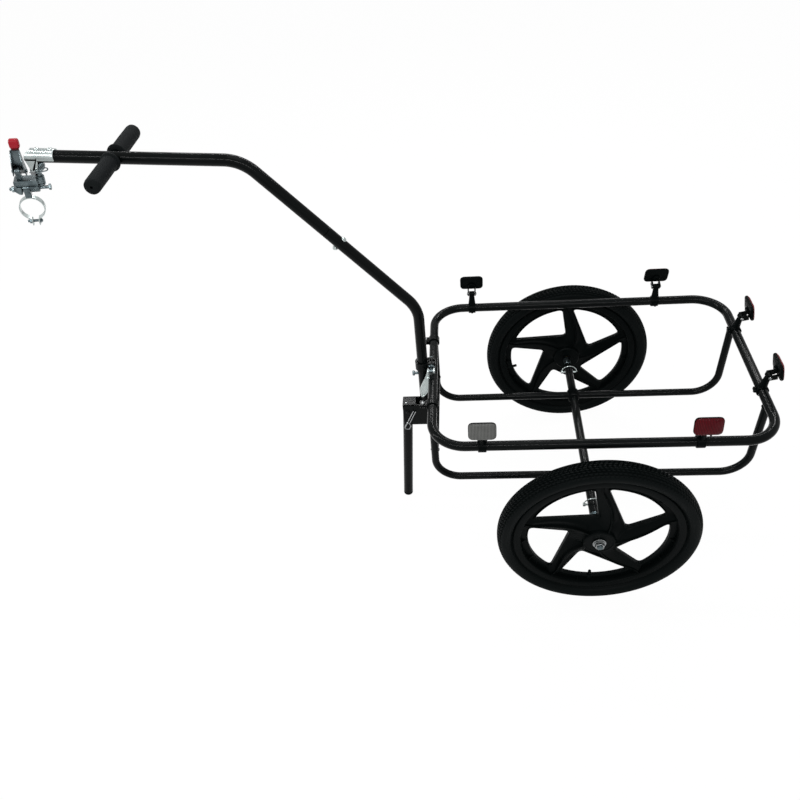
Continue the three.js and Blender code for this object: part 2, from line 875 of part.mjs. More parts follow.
function hitchBracket() {
  const roof = block(
    at(-bracketFront, -bracketHalf, bracketTop),
    at(bracketRear, bracketHalf, bracketTop + bracketWall),
  );
  const cheek = (side) => {
    const inner = side * bracketInner;
    const outer = side * bracketHalf;
    const low = Math.min(inner, outer);
    const high = Math.max(inner, outer);
    const bottom = -hitchPinDrop - lugDrop;
    const outline = new THREE.Shape([
      new THREE.Vector2(-bracketFront, bracketTop + bracketWall),
      new THREE.Vector2(-bracketFront, bracketTop),
      new THREE.Vector2(-lugFront, bottom + lugDrop / 2),
      new THREE.Vector2(-lugFront + lugDrop / 2, bottom),
      new THREE.Vector2(lugRear - lugDrop / 2, bottom),
      new THREE.Vector2(lugRear, bottom + lugDrop / 2),
      new THREE.Vector2(lugRear, -bracketSkirt - lugDrop / 2),
      new THREE.Vector2(lugRear + lugDrop / 2, -bracketSkirt),
      new THREE.Vector2(bracketRear, -bracketSkirt),
      new THREE.Vector2(bracketRear, bracketTop + bracketWall),
    ]);
    return upright(outline, high - low, at(0, (low + high) / 2, 0));
  };
  const rivet = (x) => join(
    bar(at(x, 0, drawbarRadius - rivetDepth), at(x, 0, bracketTop + bracketWall), rivetRadius, smallSides),
    bar(
      at(x, 0, bracketTop + bracketWall - gap),
      at(x, 0, bracketTop + bracketWall + rivetHeadHeight),
      rivetHeadRadius,
      smallSides,
      rivetRadius,
    ),
  );
  const reach = bracketHalf + overrun;
  const hole = drill(
    at(hitchPinSetback, -reach, -hitchPinDrop),
    at(hitchPinSetback, reach, -hitchPinDrop),
    hitchPinRadius + gap,
  );
  return cut(join(roof, cheek(sides.left), cheek(sides.right), rivet(frontRivet), rivet(rearRivet)), hole);
}

const hitchPinEnd = bracketHalf + gap + hitchPinTail;
const clipPlane = -bracketHalf - gap - hitchPinTail / 2;

function hitchPin() {
  const on = (y) => at(hitchPinSetback, y, -hitchPinDrop);
  const headStart = bracketHalf + gap;
  const pin = join(
    bar(on(-hitchPinEnd), on(headStart + hitchPinHeadLength), hitchPinRadius),
    bar(on(headStart), on(headStart + hitchPinHeadLength), hitchPinHeadRadius),
  );
  const reach = hitchPinRadius + overrun;
  const hole = drill(
    at(hitchPinSetback - reach, clipPlane, -hitchPinDrop),
    at(hitchPinSetback + reach, clipPlane, -hitchPinDrop),
    clipWireRadius + gap,
    smallSides,
  );
  return cut(pin, hole);
}

/** Route of a spring clip in X and Z: a leg through the pin, a loop and a second leg beside the pin. */
function clipRoute(pinRadius, tail, length) {
  const beside = pinRadius + gap + 2 * clipWireRadius;
  const loopBack = length - clipLoopLength;
  const points = [
    [-tail, 0],
    [length, 0],
    [length, clipLoopHeight],
    [loopBack, clipLoopHeight],
    [loopBack - clipShoulder, beside],
    [-tail, beside],
  ];
  return bentRoute(points.map(([x, z]) => at(x, 0, z)), clipBend, smallBendSteps);
}

function hitchPieces() {
  piece('hitch_bracket', hitchBracket(), zinc, hitch);
  piece('hitch_pin', hitchPin(), zinc, hitch);
  const clip = placed(hitch, at(hitchPinSetback, clipPlane, -hitchPinDrop), 'y', 0);
  const route = clipRoute(hitchPinRadius, hitchClipTail, hitchClipLength);
  piece('hitch_clip', tube(route, clipWireRadius, 0, wireSides), steel, clip);
}

// Coupling: a link hangs from the hitch pin, the head turns on its stem and the strap rolls on a long bolt
const link = placed(hitch, at(hitchPinSetback, 0, -hitchPinDrop), 'y', couplingTilt);
const head = placed(link, at(0, 0, 0), 'z', couplingTurn);

function swivelLink() {
  const width = bracketInner - eyeClearance;
  const eye = bar(at(0, -width, 0), at(0, width, 0), eyeRadius, tubeSides);
  const stem = bar(at(0, 0, 0), at(0, 0, -stemLength), stemRadius);
  const flange = bar(at(0, 0, -stemLength), at(0, 0, -stemLength + stemFlangeThickness), stemFlangeRadius);
  const bore = drill(at(0, -width - overrun, 0), at(0, width + overrun, 0), hitchPinRadius + gap);
  return cut(join(eye, stem, flange), bore);
}

const leverPivotZ = leverPivotRise - headTopDrop;

function couplingHead() {
  const body = block(
    at(-headFront, -headHalfDepth, -headBottomDrop),
    at(headRear, headHalfDepth, -headTopDrop),
  );
  const lugLeft = -leverLugForward - leverLugWidth / 2;
  const lugRight = -leverLugForward + leverLugWidth / 2;
  const lug = join(
    block(at(lugLeft, -leverLugRadius, -headTopDrop - gap), at(lugRight, leverLugRadius, leverPivotZ)),
    bar(at(lugLeft, 0, leverPivotZ), at(lugRight, 0, leverPivotZ), leverLugRadius),
  );
  const pivotHole = drill(
    at(lugLeft - overrun, 0, leverPivotZ),
    at(lugRight + overrun, 0, leverPivotZ),
    pivotPinRadius + gap,
  );
  const stemHole = drill(at(0, 0, -stemLength), at(0, 0, overrun), stemRadius + gap);
  const pocket = drill(
    at(0, 0, -stemLength - gap),
    at(0, 0, -stemLength + stemFlangeThickness + gap),
    stemFlangeRadius + gap,
  );
  const slotHalf = strapLugWidth / 2 + gap;
  const slot = block(
    at(-strapForward - slotHalf, -headHalfDepth - overrun, -headBottomDrop - overrun),
    at(-strapForward + slotHalf, headHalfDepth + overrun, -swivelBoltDrop + strapLugRadius + gap),
  );
  const boltHole = drill(
    at(-headFront - overrun, 0, -swivelBoltDrop),
    at(headRear + overrun, 0, -swivelBoltDrop),
    swivelBoltRadius + gap,
  );
  return cut(join(body, lug), pivotHole, stemHole, pocket, slot, boltHole);
}

function swivelBolt() {
  const on = (x) => at(x, 0, -swivelBoltDrop);
  const nutStart = -headFront - gap;
  const nutEnd = nutStart - swivelNutLength;
  const headStart = headRear + gap;
  return join(
    bar(on(nutEnd - swivelThreadEnd), on(headStart + swivelHeadLength), swivelBoltRadius, smallSides),
    bar(on(headStart), on(headStart + swivelHeadLength), swivelHeadRadius, wireSides),
    bar(on(nutEnd), on(nutStart), swivelHeadRadius, wireSides),
  );
}

const strapCentreZ = -swivelBoltDrop - strapDrop;
const strapBoltZ = strapCentreZ - strapOuterRadius - strapEarLength / 2 + strapWall;

function seatPostClamp() {
  const lugLeft = -strapForward - strapLugWidth / 2;
  const lugRight = -strapForward + strapLugWidth / 2;
  const lug = join(
    block(
      at(lugLeft, -strapLugRadius, strapCentreZ + strapOuterRadius - strapWall),
      at(lugRight, strapLugRadius, -swivelBoltDrop),
    ),
    bar(at(lugLeft, 0, -swivelBoltDrop), at(lugRight, 0, -swivelBoltDrop), strapLugRadius),
  );
  const depth = strapWidth / 2;
  const on = (y) => at(-strapForward, y, strapCentreZ);
  const band = bar(on(-depth), on(depth), strapOuterRadius, wheelSides / 2);
  const earOut = strapSlit / 2 + strapEarWall;
  const earBottom = strapCentreZ - strapOuterRadius + strapWall - strapEarLength;
  const ears = block(
    at(-strapForward - earOut, -depth, earBottom),
    at(-strapForward + earOut, depth, strapCentreZ),
  );
  const bore = drill(on(-depth - overrun), on(depth + overrun), strapOuterRadius - strapWall, wheelSides / 2);
  const slit = block(
    at(-strapForward - strapSlit / 2, -depth - overrun, earBottom - overrun),
    at(-strapForward + strapSlit / 2, depth + overrun, strapCentreZ),
  );
  const swivelHole = drill(
    at(lugLeft - overrun, 0, -swivelBoltDrop),
    at(lugRight + overrun, 0, -swivelBoltDrop),
    swivelBoltRadius + gap,
  );
  const boltHole = drill(
    at(-strapForward - earOut - overrun, 0, strapBoltZ),
    at(-strapForward + earOut + overrun, 0, strapBoltZ),
    strapBoltRadius + gap,
    smallSides,
  );
  return cut(join(lug, band, ears), bore, slit, swivelHole, boltHole);
}

function strapBolt() {
  const on = (x) => at(x - strapForward, 0, strapBoltZ);
  const seat = strapSlit / 2 + strapEarWall + gap;
  const nutEnd = seat + strapBoltHeadLength;
  return join(
    bar(on(-nutEnd - strapBoltEnd), on(nutEnd), strapBoltRadius, smallSides),
    bar(on(seat), on(nutEnd), strapBoltHeadRadius, smallSides),
    bar(on(-nutEnd), on(-seat), strapBoltHeadRadius, wireSides),
  );
}

// Release lever: a folded channel on a cross pin that turns with it, a tab on top carries the cap
const channelLeft = -channelForward - channelWidth / 2;
const channelRight = -channelForward + channelWidth / 2;
const tabTop = leverPivotZ + channelRise + tabHeight;
const tabBack = channelBackDepth;

function releaseLever() {
  const low = leverPivotZ - channelFoot;
  const high = leverPivotZ + channelRise;
  const outside = block(at(channelLeft, -channelFrontDepth, low), at(channelRight, channelBackDepth, high));
  const inside = block(
    at(channelLeft + channelWall, -channelFrontDepth - overrun, low - overrun),
    at(channelRight - channelWall, channelBackDepth - channelWall, high + overrun),
  );
  const tab = block(
    at(-channelForward - tabWidth / 2, tabBack - channelWall, high - channelWall),
    at(-channelForward + tabWidth / 2, tabBack, tabTop),
  );
  const pin = bar(
    at(channelLeft - pivotPinEnd, 0, leverPivotZ),
    at(channelRight + pivotPinEnd, 0, leverPivotZ),
    pivotPinRadius,
  );
  return join(cut(outside, inside), tab, pin);
}

function leverCap() {
  const bottom = leverPivotZ + channelRise + gap;
  const middleY = tabBack - channelWall / 2;
  const outline = roundedRectangle(capWidth, capHeight, capCorner);
  const body = upright(outline, capDepth, at(-channelForward, middleY, bottom + capHeight / 2));
  const slot = block(
    at(-channelForward - tabWidth / 2 - gap, tabBack - channelWall - gap, bottom - overrun),
    at(-channelForward + tabWidth / 2 + gap, tabBack + gap, tabTop + gap),
  );
  return cut(body, slot);
}

/** Torsion spring round the lever's pin, with a straight tail at each end. */
function springRoute() {
  const steps = springTurns * curlSteps;
  const startX = -leverLugForward + leverLugWidth / 2 + springWireRadius + gap;
  const helix = (i) => {
    const turn = i * full / curlSteps;
    const point = at(
      startX + springPitch * i / curlSteps,
      springRadius * Math.cos(turn),
      leverPivotZ - springRadius * Math.sin(turn),
    );
    const heading = at(springPitch / full, -springRadius * Math.sin(turn), -springRadius * Math.cos(turn));
    return { point, heading: heading.normalize() };
  };
  const coil = Array.from({ length: steps + 1 }, (_, i) => helix(i));
  const tail = ({ point, heading }, distance) => ({ point: along(point, heading, distance), heading });
  return new Route([tail(coil[0], -springTail), ...coil, tail(coil.at(-1), springTail)]);
}

/** Least distance between the surfaces of neighbouring turns, measured on the route's points. */
function leastTurnGap(route, turnSteps, wireRadius) {
  let least = Infinity;
  route.knots.forEach((knot, i) => {
    for (let k = i + turnSteps / 2; k < route.knots.length; k += 1) {
      least = Math.min(least, knot.point.distanceTo(route.knots[k].point) - 2 * wireRadius);
    }
  });
  return least;
}

function coupling() {
  piece('swivel_link', swivelLink(), steel, link);
  piece('coupling_head', couplingHead(), zinc, head);
  piece('swivel_bolt', swivelBolt(), steel, head);
  piece('seat_post_clamp', seatPostClamp(), zinc, head);
  piece('clamp_bolt', strapBolt(), steel, head);
  piece('release_lever', releaseLever(), zinc, head);
  piece('lever_cap', leverCap(), redPlastic, head);
  const spring = springRoute();
  console.log('least gap between spring turns', leastTurnGap(spring, curlSteps, springWireRadius).toFixed(2));
  piece('lever_spring', tube(spring, springWireRadius, 0, curlSides), steel, head);
}

// Stand: a folded bracket round the drawbar's foot, and a leg that folds forward between its side plates
const pivotX = -frameFront - standPivotForward;
const standPivotHeight = drawbarFootHeight + standPivotRise;
const sheetTopHeight = standPivotHeight + sheetRise;
const sheetInner = standRadius + sheetSideClearance;
const sheetHalf = sheetInner + sheetWall;
const standTurn = new THREE.Matrix4().makeRotationY(standLean).setPosition(pivotX, 0, standPivotHeight);
const onLeg = (x, y, z) => at(x, y, z).applyMatrix4(standTurn);

function standBracket() {
  const front = pivotX - sheetForward;
  const outside = block(
    at(front, -sheetHalf, drawbarFootHeight),
    at(-frameFront - loopRadius - gap, sheetHalf, sheetTopHeight),
  );
  const inside = block(
    at(front - overrun, -sheetInner, drawbarFootHeight - overrun),
    at(-frameFront, sheetInner, sheetTopHeight - sheetWall),
  );
  const roofEnd = block(
    at(front + sheetTopBack, -sheetInner, sheetTopHeight - sheetWall - overrun),
    at(-frameFront, sheetInner, sheetTopHeight + overrun),
  );
  const reach = sheetHalf + overrun;
  const boltHole = drill(onLeg(0, -reach, 0), onLeg(0, reach, 0), standBoltRadius + gap);
  const notchHalf = standPinRadius + gap;
  const notchStart = -quarter - standLean;
  const notch = new THREE.Shape()
    .absarc(0, 0, standPinDrop + notchHalf, notchStart, notchStart - notchSweep, true)
    .absarc(0, 0, standPinDrop - notchHalf, notchStart - notchSweep, notchStart, false);
  const notchTool = upright(notch, 2 * reach, at(pivotX, 0, standPivotHeight));
  const pinHole = drill(onLeg(0, -reach, -standPinDrop), onLeg(0, reach, -standPinDrop), notchHalf);
  return cut(outside, inside, roofEnd, boltHole, notchTool, pinHole);
}

function standLeg() {
  const bottom = -standPivotHeight / Math.cos(standLean) + footFloor + gap;
  const whole = pipe(onLeg(0, 0, bottom), onLeg(0, 0, standHead), standRadius, standRadius - standWall);
  const reach = standRadius + overrun;
  const across = (z, radius) => drill(onLeg(0, -reach, z), onLeg(0, reach, z), radius);
  return cut(whole, across(0, standBoltRadius + gap), across(-standPinDrop, standPinRadius + gap));
}

function standFoot() {
  const ground = -standPivotHeight / Math.cos(standLean);
  const on = (rise) => onLeg(0, 0, ground + rise);
  const head = bar(on(-overrun), on(footFloor), standRadius, tubeSides);
  const plug = bar(on(0), on(footHeight), standRadius - standWall - gap, tubeSides);
  const below = block(at(-hitchReach, -frameHalfWidth, -railHeight), at(0, frameHalfWidth, 0));
  return cut(join(head, plug), below);
}

function standPivot() {
  const on = (y) => at(pivotX, y, standPivotHeight);
  const seat = sheetHalf + gap;
  const end = seat + standBoltHeadLength;
  return join(
    bar(on(-end), on(end), standBoltRadius),
    bar(on(-end), on(-seat), standBoltHeadRadius),
    bar(on(seat), on(end), standBoltHeadRadius, wireSides),
  );
}

function standPin() {
  const seat = sheetHalf + gap;
  const on = (y) => onLeg(0, y, -standPinDrop);
  const tailEnd = -seat - standPinTail;
  const pin = join(
    bar(on(tailEnd), on(seat + standPinHeadLength), standPinRadius, smallSides),
    bar(on(seat), on(seat + standPinHeadLength), standPinHeadRadius, rodSides),
  );
  const hang = new THREE.Matrix4().makeRotationY(standClipTurn).setPosition(on(-seat - standPinTail / 2));
  const route = clipRoute(standPinRadius, standClipTail, standClipLength).moved(hang);
  return join(pin, tube(route, clipWireRadius, 0, wireSides));
}

function stand() {
  piece('stand_bracket', standBracket(), glossBlack);
  piece('stand_leg', standLeg(), glossBlack);
  piece('stand_foot', standFoot(), mattBlack);
  piece('stand_pivot', standPivot(), steel);
  piece('stand_lock_pin', standPin(), steel);
}

// Wheels, drawn about the Y axis with Y counted outboard from the wheel's middle
function tyre() {
  const bead = rimWidth / 2 - rimFlangeWall - gap;
  const seat = rimInnerRadius + rimWall + gap;
  const wide = tyreWidth / 2;
  const tall = tyreRadius - rimFlangeRadius;
  const outer = tyreShares.map(([y, r]) => [
    rimFlangeRadius + r * tall,
    bead + y * (wide - bead),
  ]);
  const inner = casingShares.map(([y, r]) => [
    rimFlangeRadius + r * (tall - tyreWall),
    bead - tyreWall + y * (wide - bead),
  ]);
  const rightSide = [[seat, bead], ...outer];
  const mirror = ([radius, y]) => [radius, -y];
  const leftSide = rightSide.map(mirror).reverse();
  const inside = [[seat, bead - tyreWall], ...inner];
  const outline = [...rightSide, [tyreRadius, 0], ...leftSide, ...inside.map(mirror), ...inside.reverse()];
  return turned([...outline, [seat, bead]], wheelSides);
}

/** Inner tube: the space in the casing drawn in towards its middle, with the valve through the rim. */
function innerTube(valveTurn) {
  const bead = rimWidth / 2 - rimFlangeWall - gap;
  const tall = tyreRadius - rimFlangeRadius - tyreWall;
  const middle = rimFlangeRadius + innerTubeMiddleShare * tall;
  const casing = innerTubeShares.map(([y, r]) => [
    rimFlangeRadius + r * tall,
    bead - tyreWall + y * (tyreWidth / 2 - bead),
  ]);
  const drawnIn = ([radius, y]) => [middle + innerTubeShare * (radius - middle), innerTubeShare * y];
  const outside = casing.map(drawnIn);
  const mirrored = outside.map(([radius, y]) => [radius, -y]).reverse();
  const body = turned([...outside, ...mirrored, outside[0]], wheelSides);
  const on = (radius) => at(radius * Math.cos(valveTurn), 0, radius * Math.sin(valveTurn));
  return join(body, bar(on(rimInnerRadius - valveLength), on(middle), valveRadius, smallSides));
}

function windowPath(start) {
  const end = start + windowSweep;
  const on = (radius, turn) => new THREE.Vector2(radius * Math.cos(turn), radius * Math.sin(turn));
  const rim = rimShares.map((share) => on(windowOuterRadius, start + share * windowSweep));
  return roundedPath([on(windowInnerRadius, start + innerCornerShare * windowSweep), ...rim], windowCorner);
}

function wheel(outboard, valveTurn) {
  const edge = rimWidth / 2;
  const shelf = edge - rimFlangeWall;
  const rim = turned([
    [rimInnerRadius, -edge], [rimFlangeRadius, -edge], [rimFlangeRadius, -shelf],
    [rimInnerRadius + rimWall, -shelf], [rimInnerRadius + rimWall, shelf],
    [rimFlangeRadius, shelf], [rimFlangeRadius, edge], [rimInnerRadius, edge], [rimInnerRadius, -edge],
  ], wheelSides);
  const web = new THREE.Shape(ring(rimInnerRadius + webOverlap, wheelSides));
  for (let k = 0; k < spokeCount; k += 1) {
    web.holes.push(windowPath(windowStart + k * full / spokeCount));
  }
  const hub = turned([
    [0, -hubInnerReach], [hubRadius, -hubInnerReach], [hubFootRadius, 0],
    [hubRadius, hubOuterReach], [0, hubOuterReach],
  ], hubSides, outboard);
  const bore = turned([
    [0, -hubInnerReach - overrun], [bored(bushRadius + gap, hubSides), -hubInnerReach - overrun],
    [bored(bushRadius + gap, hubSides), hubOuterReach + overrun], [0, hubOuterReach + overrun],
  ], hubSides, outboard);
  const on = (radius) => at(radius * Math.cos(valveTurn), 0, radius * Math.sin(valveTurn));
  const valveHole = drill(on(rimInnerRadius - overrun), on(rimFlangeRadius), valveRadius + gap, smallSides);
  return cut(join(rim, upright(web, webThickness), hub), bore, valveHole);
}

function wheelSet(side, outboard, valveTurn) {
  const middle = at(0, outboard * wheelTrack / 2, axleHeight);
  const hub = placed(trailer, middle, 'y', 0);
  piece('tyre_' + side, tyre(), rubber, hub);
  piece('inner_tube_' + side, innerTube(valveTurn), rubber, hub);
  piece('wheel_' + side, wheel(outboard, valveTurn), satinBlack, hub);
  const on = (y) => at(0, outboard * y, 0);
  const bushInner = -hubInnerReach - bushEnd;
  const bushOuter = hubOuterReach + bushEnd;
  const bush = turned([
    [bored(stubRadius + gap, hubSides), bushInner], [bushRadius, bushInner], [bushRadius, bushOuter],
    [bored(stubRadius + gap, hubSides), bushOuter], [bored(stubRadius + gap, hubSides), bushInner],
  ], hubSides, outboard);
  piece('hub_bush_' + side, bush, brass, hub);
  const tubeEnd = axleTubeReach - wheelTrack / 2;
  const washerStart = bushOuter + gap;
  const nutStart = washerStart + washerThickness;
  const stub = join(
    bar(on(tubeEnd - stubDepth), on(nutStart + nutHeight + threadEnd), stubRadius),
    bar(on(tubeEnd + gap), on(bushInner - gap), stubShoulderRadius),
  );
  const pinHole = lockPinHole(outboard * (lockPinSide - wheelTrack / 2), 0);
  piece('stub_axle_' + side, cut(stub, pinHole), steel, hub);
  const nut = join(
    bar(on(washerStart), on(nutStart + gap), washerRadius, rodSides),
    bar(on(nutStart), on(nutStart + nutHeight), nutRadius, wireSides),
  );
  const thread = drill(on(0), on(nutStart + nutHeight + overrun), stubRadius + gap);
  piece('axle_nut_' + side, cut(nut, thread), zinc, hub);
}

/** Lock pin along X through tube and stub axle, with a wire bail over the tube. */
function wheelLockPin() {
  const end = lockPinReach;
  const headHalf = lockPinHeadLength / 2;
  const pin = join(
    bar(at(-end, 0, 0), at(end, 0, 0), lockPinRadius, smallSides),
    bar(at(-end - headHalf, 0, 0), at(-end + headHalf, 0, 0), lockPinHeadRadius, smallSides),
  );
  const knot = (_, i) => {
    const turn = half - i * half / bailSteps;
    const point = at(bailRadius * Math.cos(turn), 0, bailRadius * Math.sin(turn));
    return { point, heading: at(Math.sin(turn), 0, -Math.cos(turn)) };
  };
  const knots = Array.from({ length: bailSteps + 1 }, knot);
  return join(pin, tube(new Route(knots), bailWireRadius, 0, wireSides));
}

function wheels() {
  wheelSet('left', sides.left, leftValveTurn);
  wheelSet('right', sides.right, rightValveTurn);
  for (const [name, side] of Object.entries(sides)) {
    const hub = placed(trailer, at(0, side * lockPinSide, axleHeight), 'y', 0);
    piece('wheel_lock_pin_' + name, wheelLockPin(), zinc, hub);
  }
}

// Reflectors, drawn with X pointing away from the load and Y along the rail that they are clamped to
const reflectorHinge = at(reflectorHingeOut, 0, reflectorHingeLift);

function reflectorMount() {
  const depth = reflectorClampWidth / 2;
  const radius = railRadius + gap + reflectorClampWall;
  const hinge = reflectorHinge;
  const barrelEnd = at(0, barrelWidth / 2, 0);
  const body = join(
    bar(at(0, -depth, 0), at(0, depth, 0), radius),
    bar(at(0, 0, railRadius), hinge, postFootRadius, smallSides, postTopRadius),
    bar(hinge.clone().sub(barrelEnd), hinge.clone().add(barrelEnd), barrelRadius, smallSides),
  );
  const screwReach = at(0, barrelWidth + overrun, 0);
  return cut(
    body,
    drill(at(0, -depth - overrun, 0), at(0, depth + overrun, 0), railRadius + gap, rodSides),
    drill(hinge.clone().sub(screwReach), hinge.clone().add(screwReach), screwRadius + gap, smallSides),
  );
}

/** A reflector in its housing, drawn upright round the hinge and then leant in. */
function reflector() {
  const slab = (width, height, rounding, back, front) => {
    const options = { depth: front - back, bevelEnabled: false };
    const geometry = new THREE.ExtrudeGeometry(roundedRectangle(height, width, rounding), options);
    return solid(geometry.translate(0, 0, back).rotateY(quarter).translate(0, 0, reflectorRise));
  };
  const front = reflectorStandOff + reflectorThickness;
  const back = reflectorStandOff;
  const housing = slab(reflectorWidth, reflectorHeight, reflectorCorner, back, front - lensInset);
  const lens = slab(
    reflectorWidth - 2 * reflectorRim,
    reflectorHeight - 2 * reflectorRim,
    reflectorCorner - reflectorRim,
    back + reflectorRim,
    front,
  );
  const earStart = barrelWidth / 2 + gap;
  const earEnd = earStart + earWall;
  const ear = (side) => block(
    at(-screwRadius - gap, Math.min(side * earStart, side * earEnd), -earHeight / 2),
    at(back + gap, Math.max(side * earStart, side * earEnd), earHeight / 2),
  );
  const screw = bar(at(0, -earEnd, 0), at(0, earEnd, 0), screwRadius, smallSides);
  const whole = join(housing, lens, ear(-1), ear(1), screw);
  const leant = new THREE.Matrix4().makeRotationY(-reflectorLean).setPosition(reflectorHinge);
  return whole.transform(leant.elements);
}

function reflectors() {
  const places = [
    ['left_front', at(-leftFrontReflector, -frameHalfWidth, railHeight), -quarter, clearLens],
    ['left_rear', at(leftRearReflector, -frameHalfWidth, railHeight), -quarter, redLens],
    ['right_front', at(-rightFrontReflector, frameHalfWidth, railHeight), quarter, clearLens],
    ['right_rear', at(rightRearReflector, frameHalfWidth, railHeight), quarter, redLens],
    ['tail_left', at(frameRear, -leftTailReflector, railHeight), 0, redLens],
    ['tail_right', at(frameRear, rightTailReflector, railHeight), 0, redLens],
  ];
  for (const [name, position, turn, lens] of places) {
    const set = placed(trailer, position, 'z', turn);
    piece('reflector_mount_' + name, reflectorMount(), satinBlack, set);
    piece('reflector_' + name, reflector(), lens, set);
  }
}

upperFrame();
lowerFrame();
axleTube();
clamps();
drawbar();
drawbarMount();
handle();
hitchPieces();
coupling();
stand();
wheels();
reflectors();

// The part's origin is the middle of its outline on the ground
const part = new THREE.Group();
part.add(trailer);
part.updateMatrixWorld(true);
const bounds = new THREE.Box3().setFromObject(trailer, true);
const middle = bounds.getCenter(at());
trailer.position.set(-middle.x, -middle.y, -bounds.min.z);

export default part;
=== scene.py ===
"""Cargo bike trailer: bent black tube frame on two spoked wheels, with a high drawbar and a seat post
coupling.

Shapes are worked out in millimetres over the point on the ground below the middle of the axle: X back, Y to
the trailer's right, Z up. Each is a surface on a grid of two parameters, or a profile carried along a line.
"""

import bpy
import numpy as np
from mathutils import Matrix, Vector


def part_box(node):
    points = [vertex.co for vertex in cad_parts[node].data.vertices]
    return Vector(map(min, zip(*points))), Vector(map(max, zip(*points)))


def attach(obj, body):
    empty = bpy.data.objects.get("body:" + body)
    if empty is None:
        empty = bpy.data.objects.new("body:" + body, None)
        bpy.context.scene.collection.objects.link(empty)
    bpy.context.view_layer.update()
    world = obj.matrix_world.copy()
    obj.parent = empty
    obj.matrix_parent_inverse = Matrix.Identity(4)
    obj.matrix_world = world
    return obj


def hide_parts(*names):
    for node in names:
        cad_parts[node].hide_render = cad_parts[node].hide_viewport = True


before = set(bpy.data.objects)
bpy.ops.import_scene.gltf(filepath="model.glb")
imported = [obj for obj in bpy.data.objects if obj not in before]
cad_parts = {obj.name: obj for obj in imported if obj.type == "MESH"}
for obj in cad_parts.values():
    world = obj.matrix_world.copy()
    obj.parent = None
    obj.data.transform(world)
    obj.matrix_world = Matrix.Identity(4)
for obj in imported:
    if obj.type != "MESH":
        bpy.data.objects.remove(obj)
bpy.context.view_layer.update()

METRE = 0.001
AXLE_X = (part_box("hub_bush_left")[0][0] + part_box("hub_bush_left")[1][0]) / 2 / METRE
FULL = 2 * np.pi
SIDES = ((-1, "left"), (1, "right"))
PLANES = {"z": [0, 1, 2], "y": [0, 2, 1], "x": [2, 0, 1]}

# Sizes, millimetres
AXLE_Z = 199.04
WHEEL_SIDE = 283.5
TYRE_RADIUS = 199.0
FRAME_FRONT, FRAME_REAR, FRAME_SIDE, RAIL_Z = -322.0, 326.0, 224.0, 394.0
RAIL_RADIUS, RAIL_BEND = 9.5, 66.0
LOOP_SIDE, LOOP_RADIUS, LOOP_BEND = 125.5, 8.0, 54.0
LOWER_BAR_Z = 275.0
AXLE_TUBE_REACH = 235.0
LOCK_PIN_SIDE = 210.0
DRAWBAR_RADIUS, DRAWBAR_BEND = 11.0, 76.0
DRAWBAR_X = -343.5
HITCH_END = np.array([-997.0, 0.0, 915.0])
UPPER_CORNER = np.array([-628.7, 0.0, 885.0])
LOWER_CORNER = np.array([DRAWBAR_X, 0.0, 558.6])
STAND_X, STAND_Z, STAND_LEAN = -384.0, 290.0, 4.0
GAP = 0.3

X, Y, Z = np.eye(3)


# Geometry in numpy
def unit(vector):
    """A vector, or each row of an array, at length 1."""
    vector = np.asarray(vector, float)
    return vector / np.linalg.norm(vector, axis=-1, keepdims=True)


def at(*values):
    return np.array(values, float)


def about(axis, degrees):
    """Turning matrix for points in rows: p cos a + (axis x p) sin a + axis (axis . p)(1 - cos a)."""
    x, y, z = unit(axis)
    a = np.radians(degrees)
    cross = np.array([[0, -z, y], [z, 0, -x], [-y, x, 0]])
    return (np.eye(3) + np.sin(a) * cross + (1 - np.cos(a)) * cross @ cross).T


class Spot:
    """A place with its own axes: called with local points it gives them in the trailer's axes."""

    def __init__(self, origin, turn=None):
        self.origin = np.asarray(origin, float)
        self.turn = np.eye(3) if turn is None else turn

    def __call__(self, points):
        return self.origin + np.asarray(points, float) @ self.turn

    def moved(self, offset, turn=None):
        """The spot at a local offset, turned further in its own axes."""
        return Spot(self(offset), self.turn if turn is None else turn @ self.turn)


HERE = Spot([0, 0, 0])


def outward(points, faces):
    """Turns the faces over if the volume they enclose, the sum of a . (b x c), is negative."""
    volume = 0.0
    for polygons in faces:
        corners = points[polygons]
        a, b, c = corners[:, :1], corners[:, 1:-1], corners[:, 2:]
        volume += (a * np.cross(b, c)).sum()
    return points, [polygons[:, ::-1] for polygons in faces] if volume < 0 else faces


def loft(rings, loop=False):
    """Skin over closed rings, a grid of rows by columns: each ring joins the next, and the two ends are
    filled, or joined to each other in a loop."""
    rings = np.asarray(rings, float)
    rows, columns = rings.shape[:2]
    index = np.arange(rows * columns).reshape(rows, columns)
    low = index if loop else index[:-1]
    high = np.roll(index, -1, 0) if loop else index[1:]
    quads = np.stack([low, np.roll(low, -1, 1), np.roll(high, -1, 1), high], -1).reshape(-1, 4)
    faces = [quads] if loop else [quads, index[:1, ::-1], index[-1:]]
    return outward(rings.reshape(-1, 3), faces)


def spread(axis, turn):
    """Unit vectors square to an axis, at these angles round it."""
    across = unit(np.cross(Z if abs(axis[2]) < 0.9 else X, axis))
    return np.outer(np.cos(turn), across) + np.outer(np.sin(turn), np.cross(axis, across))


def revolve(profile, start, axis, sides=48, loop=False, phase=0.0):
    """Turned shape: a point (distance, radius) of the profile makes the ring start + distance axis + radius
    circle."""
    profile = np.asarray(profile, float)
    axis = unit(axis)
    circle = spread(axis, phase + np.arange(sides) * FULL / sides)
    centres = np.asarray(start, float) + profile[:, :1] * axis
    return loft(centres[:, None] + profile[:, 1:, None] * circle, loop)


def bar(start, end, radius, edge=0.4, sides=32, phase=0.0):
    """Round bar, or with few sides a prism, with its ends chamfered."""
    way = np.subtract(end, start)
    length = np.linalg.norm(way)
    profile = [[0, radius - edge], [edge, radius], [length - edge, radius], [length, radius - edge]]
    return revolve(profile, start, way, sides, phase=phase)


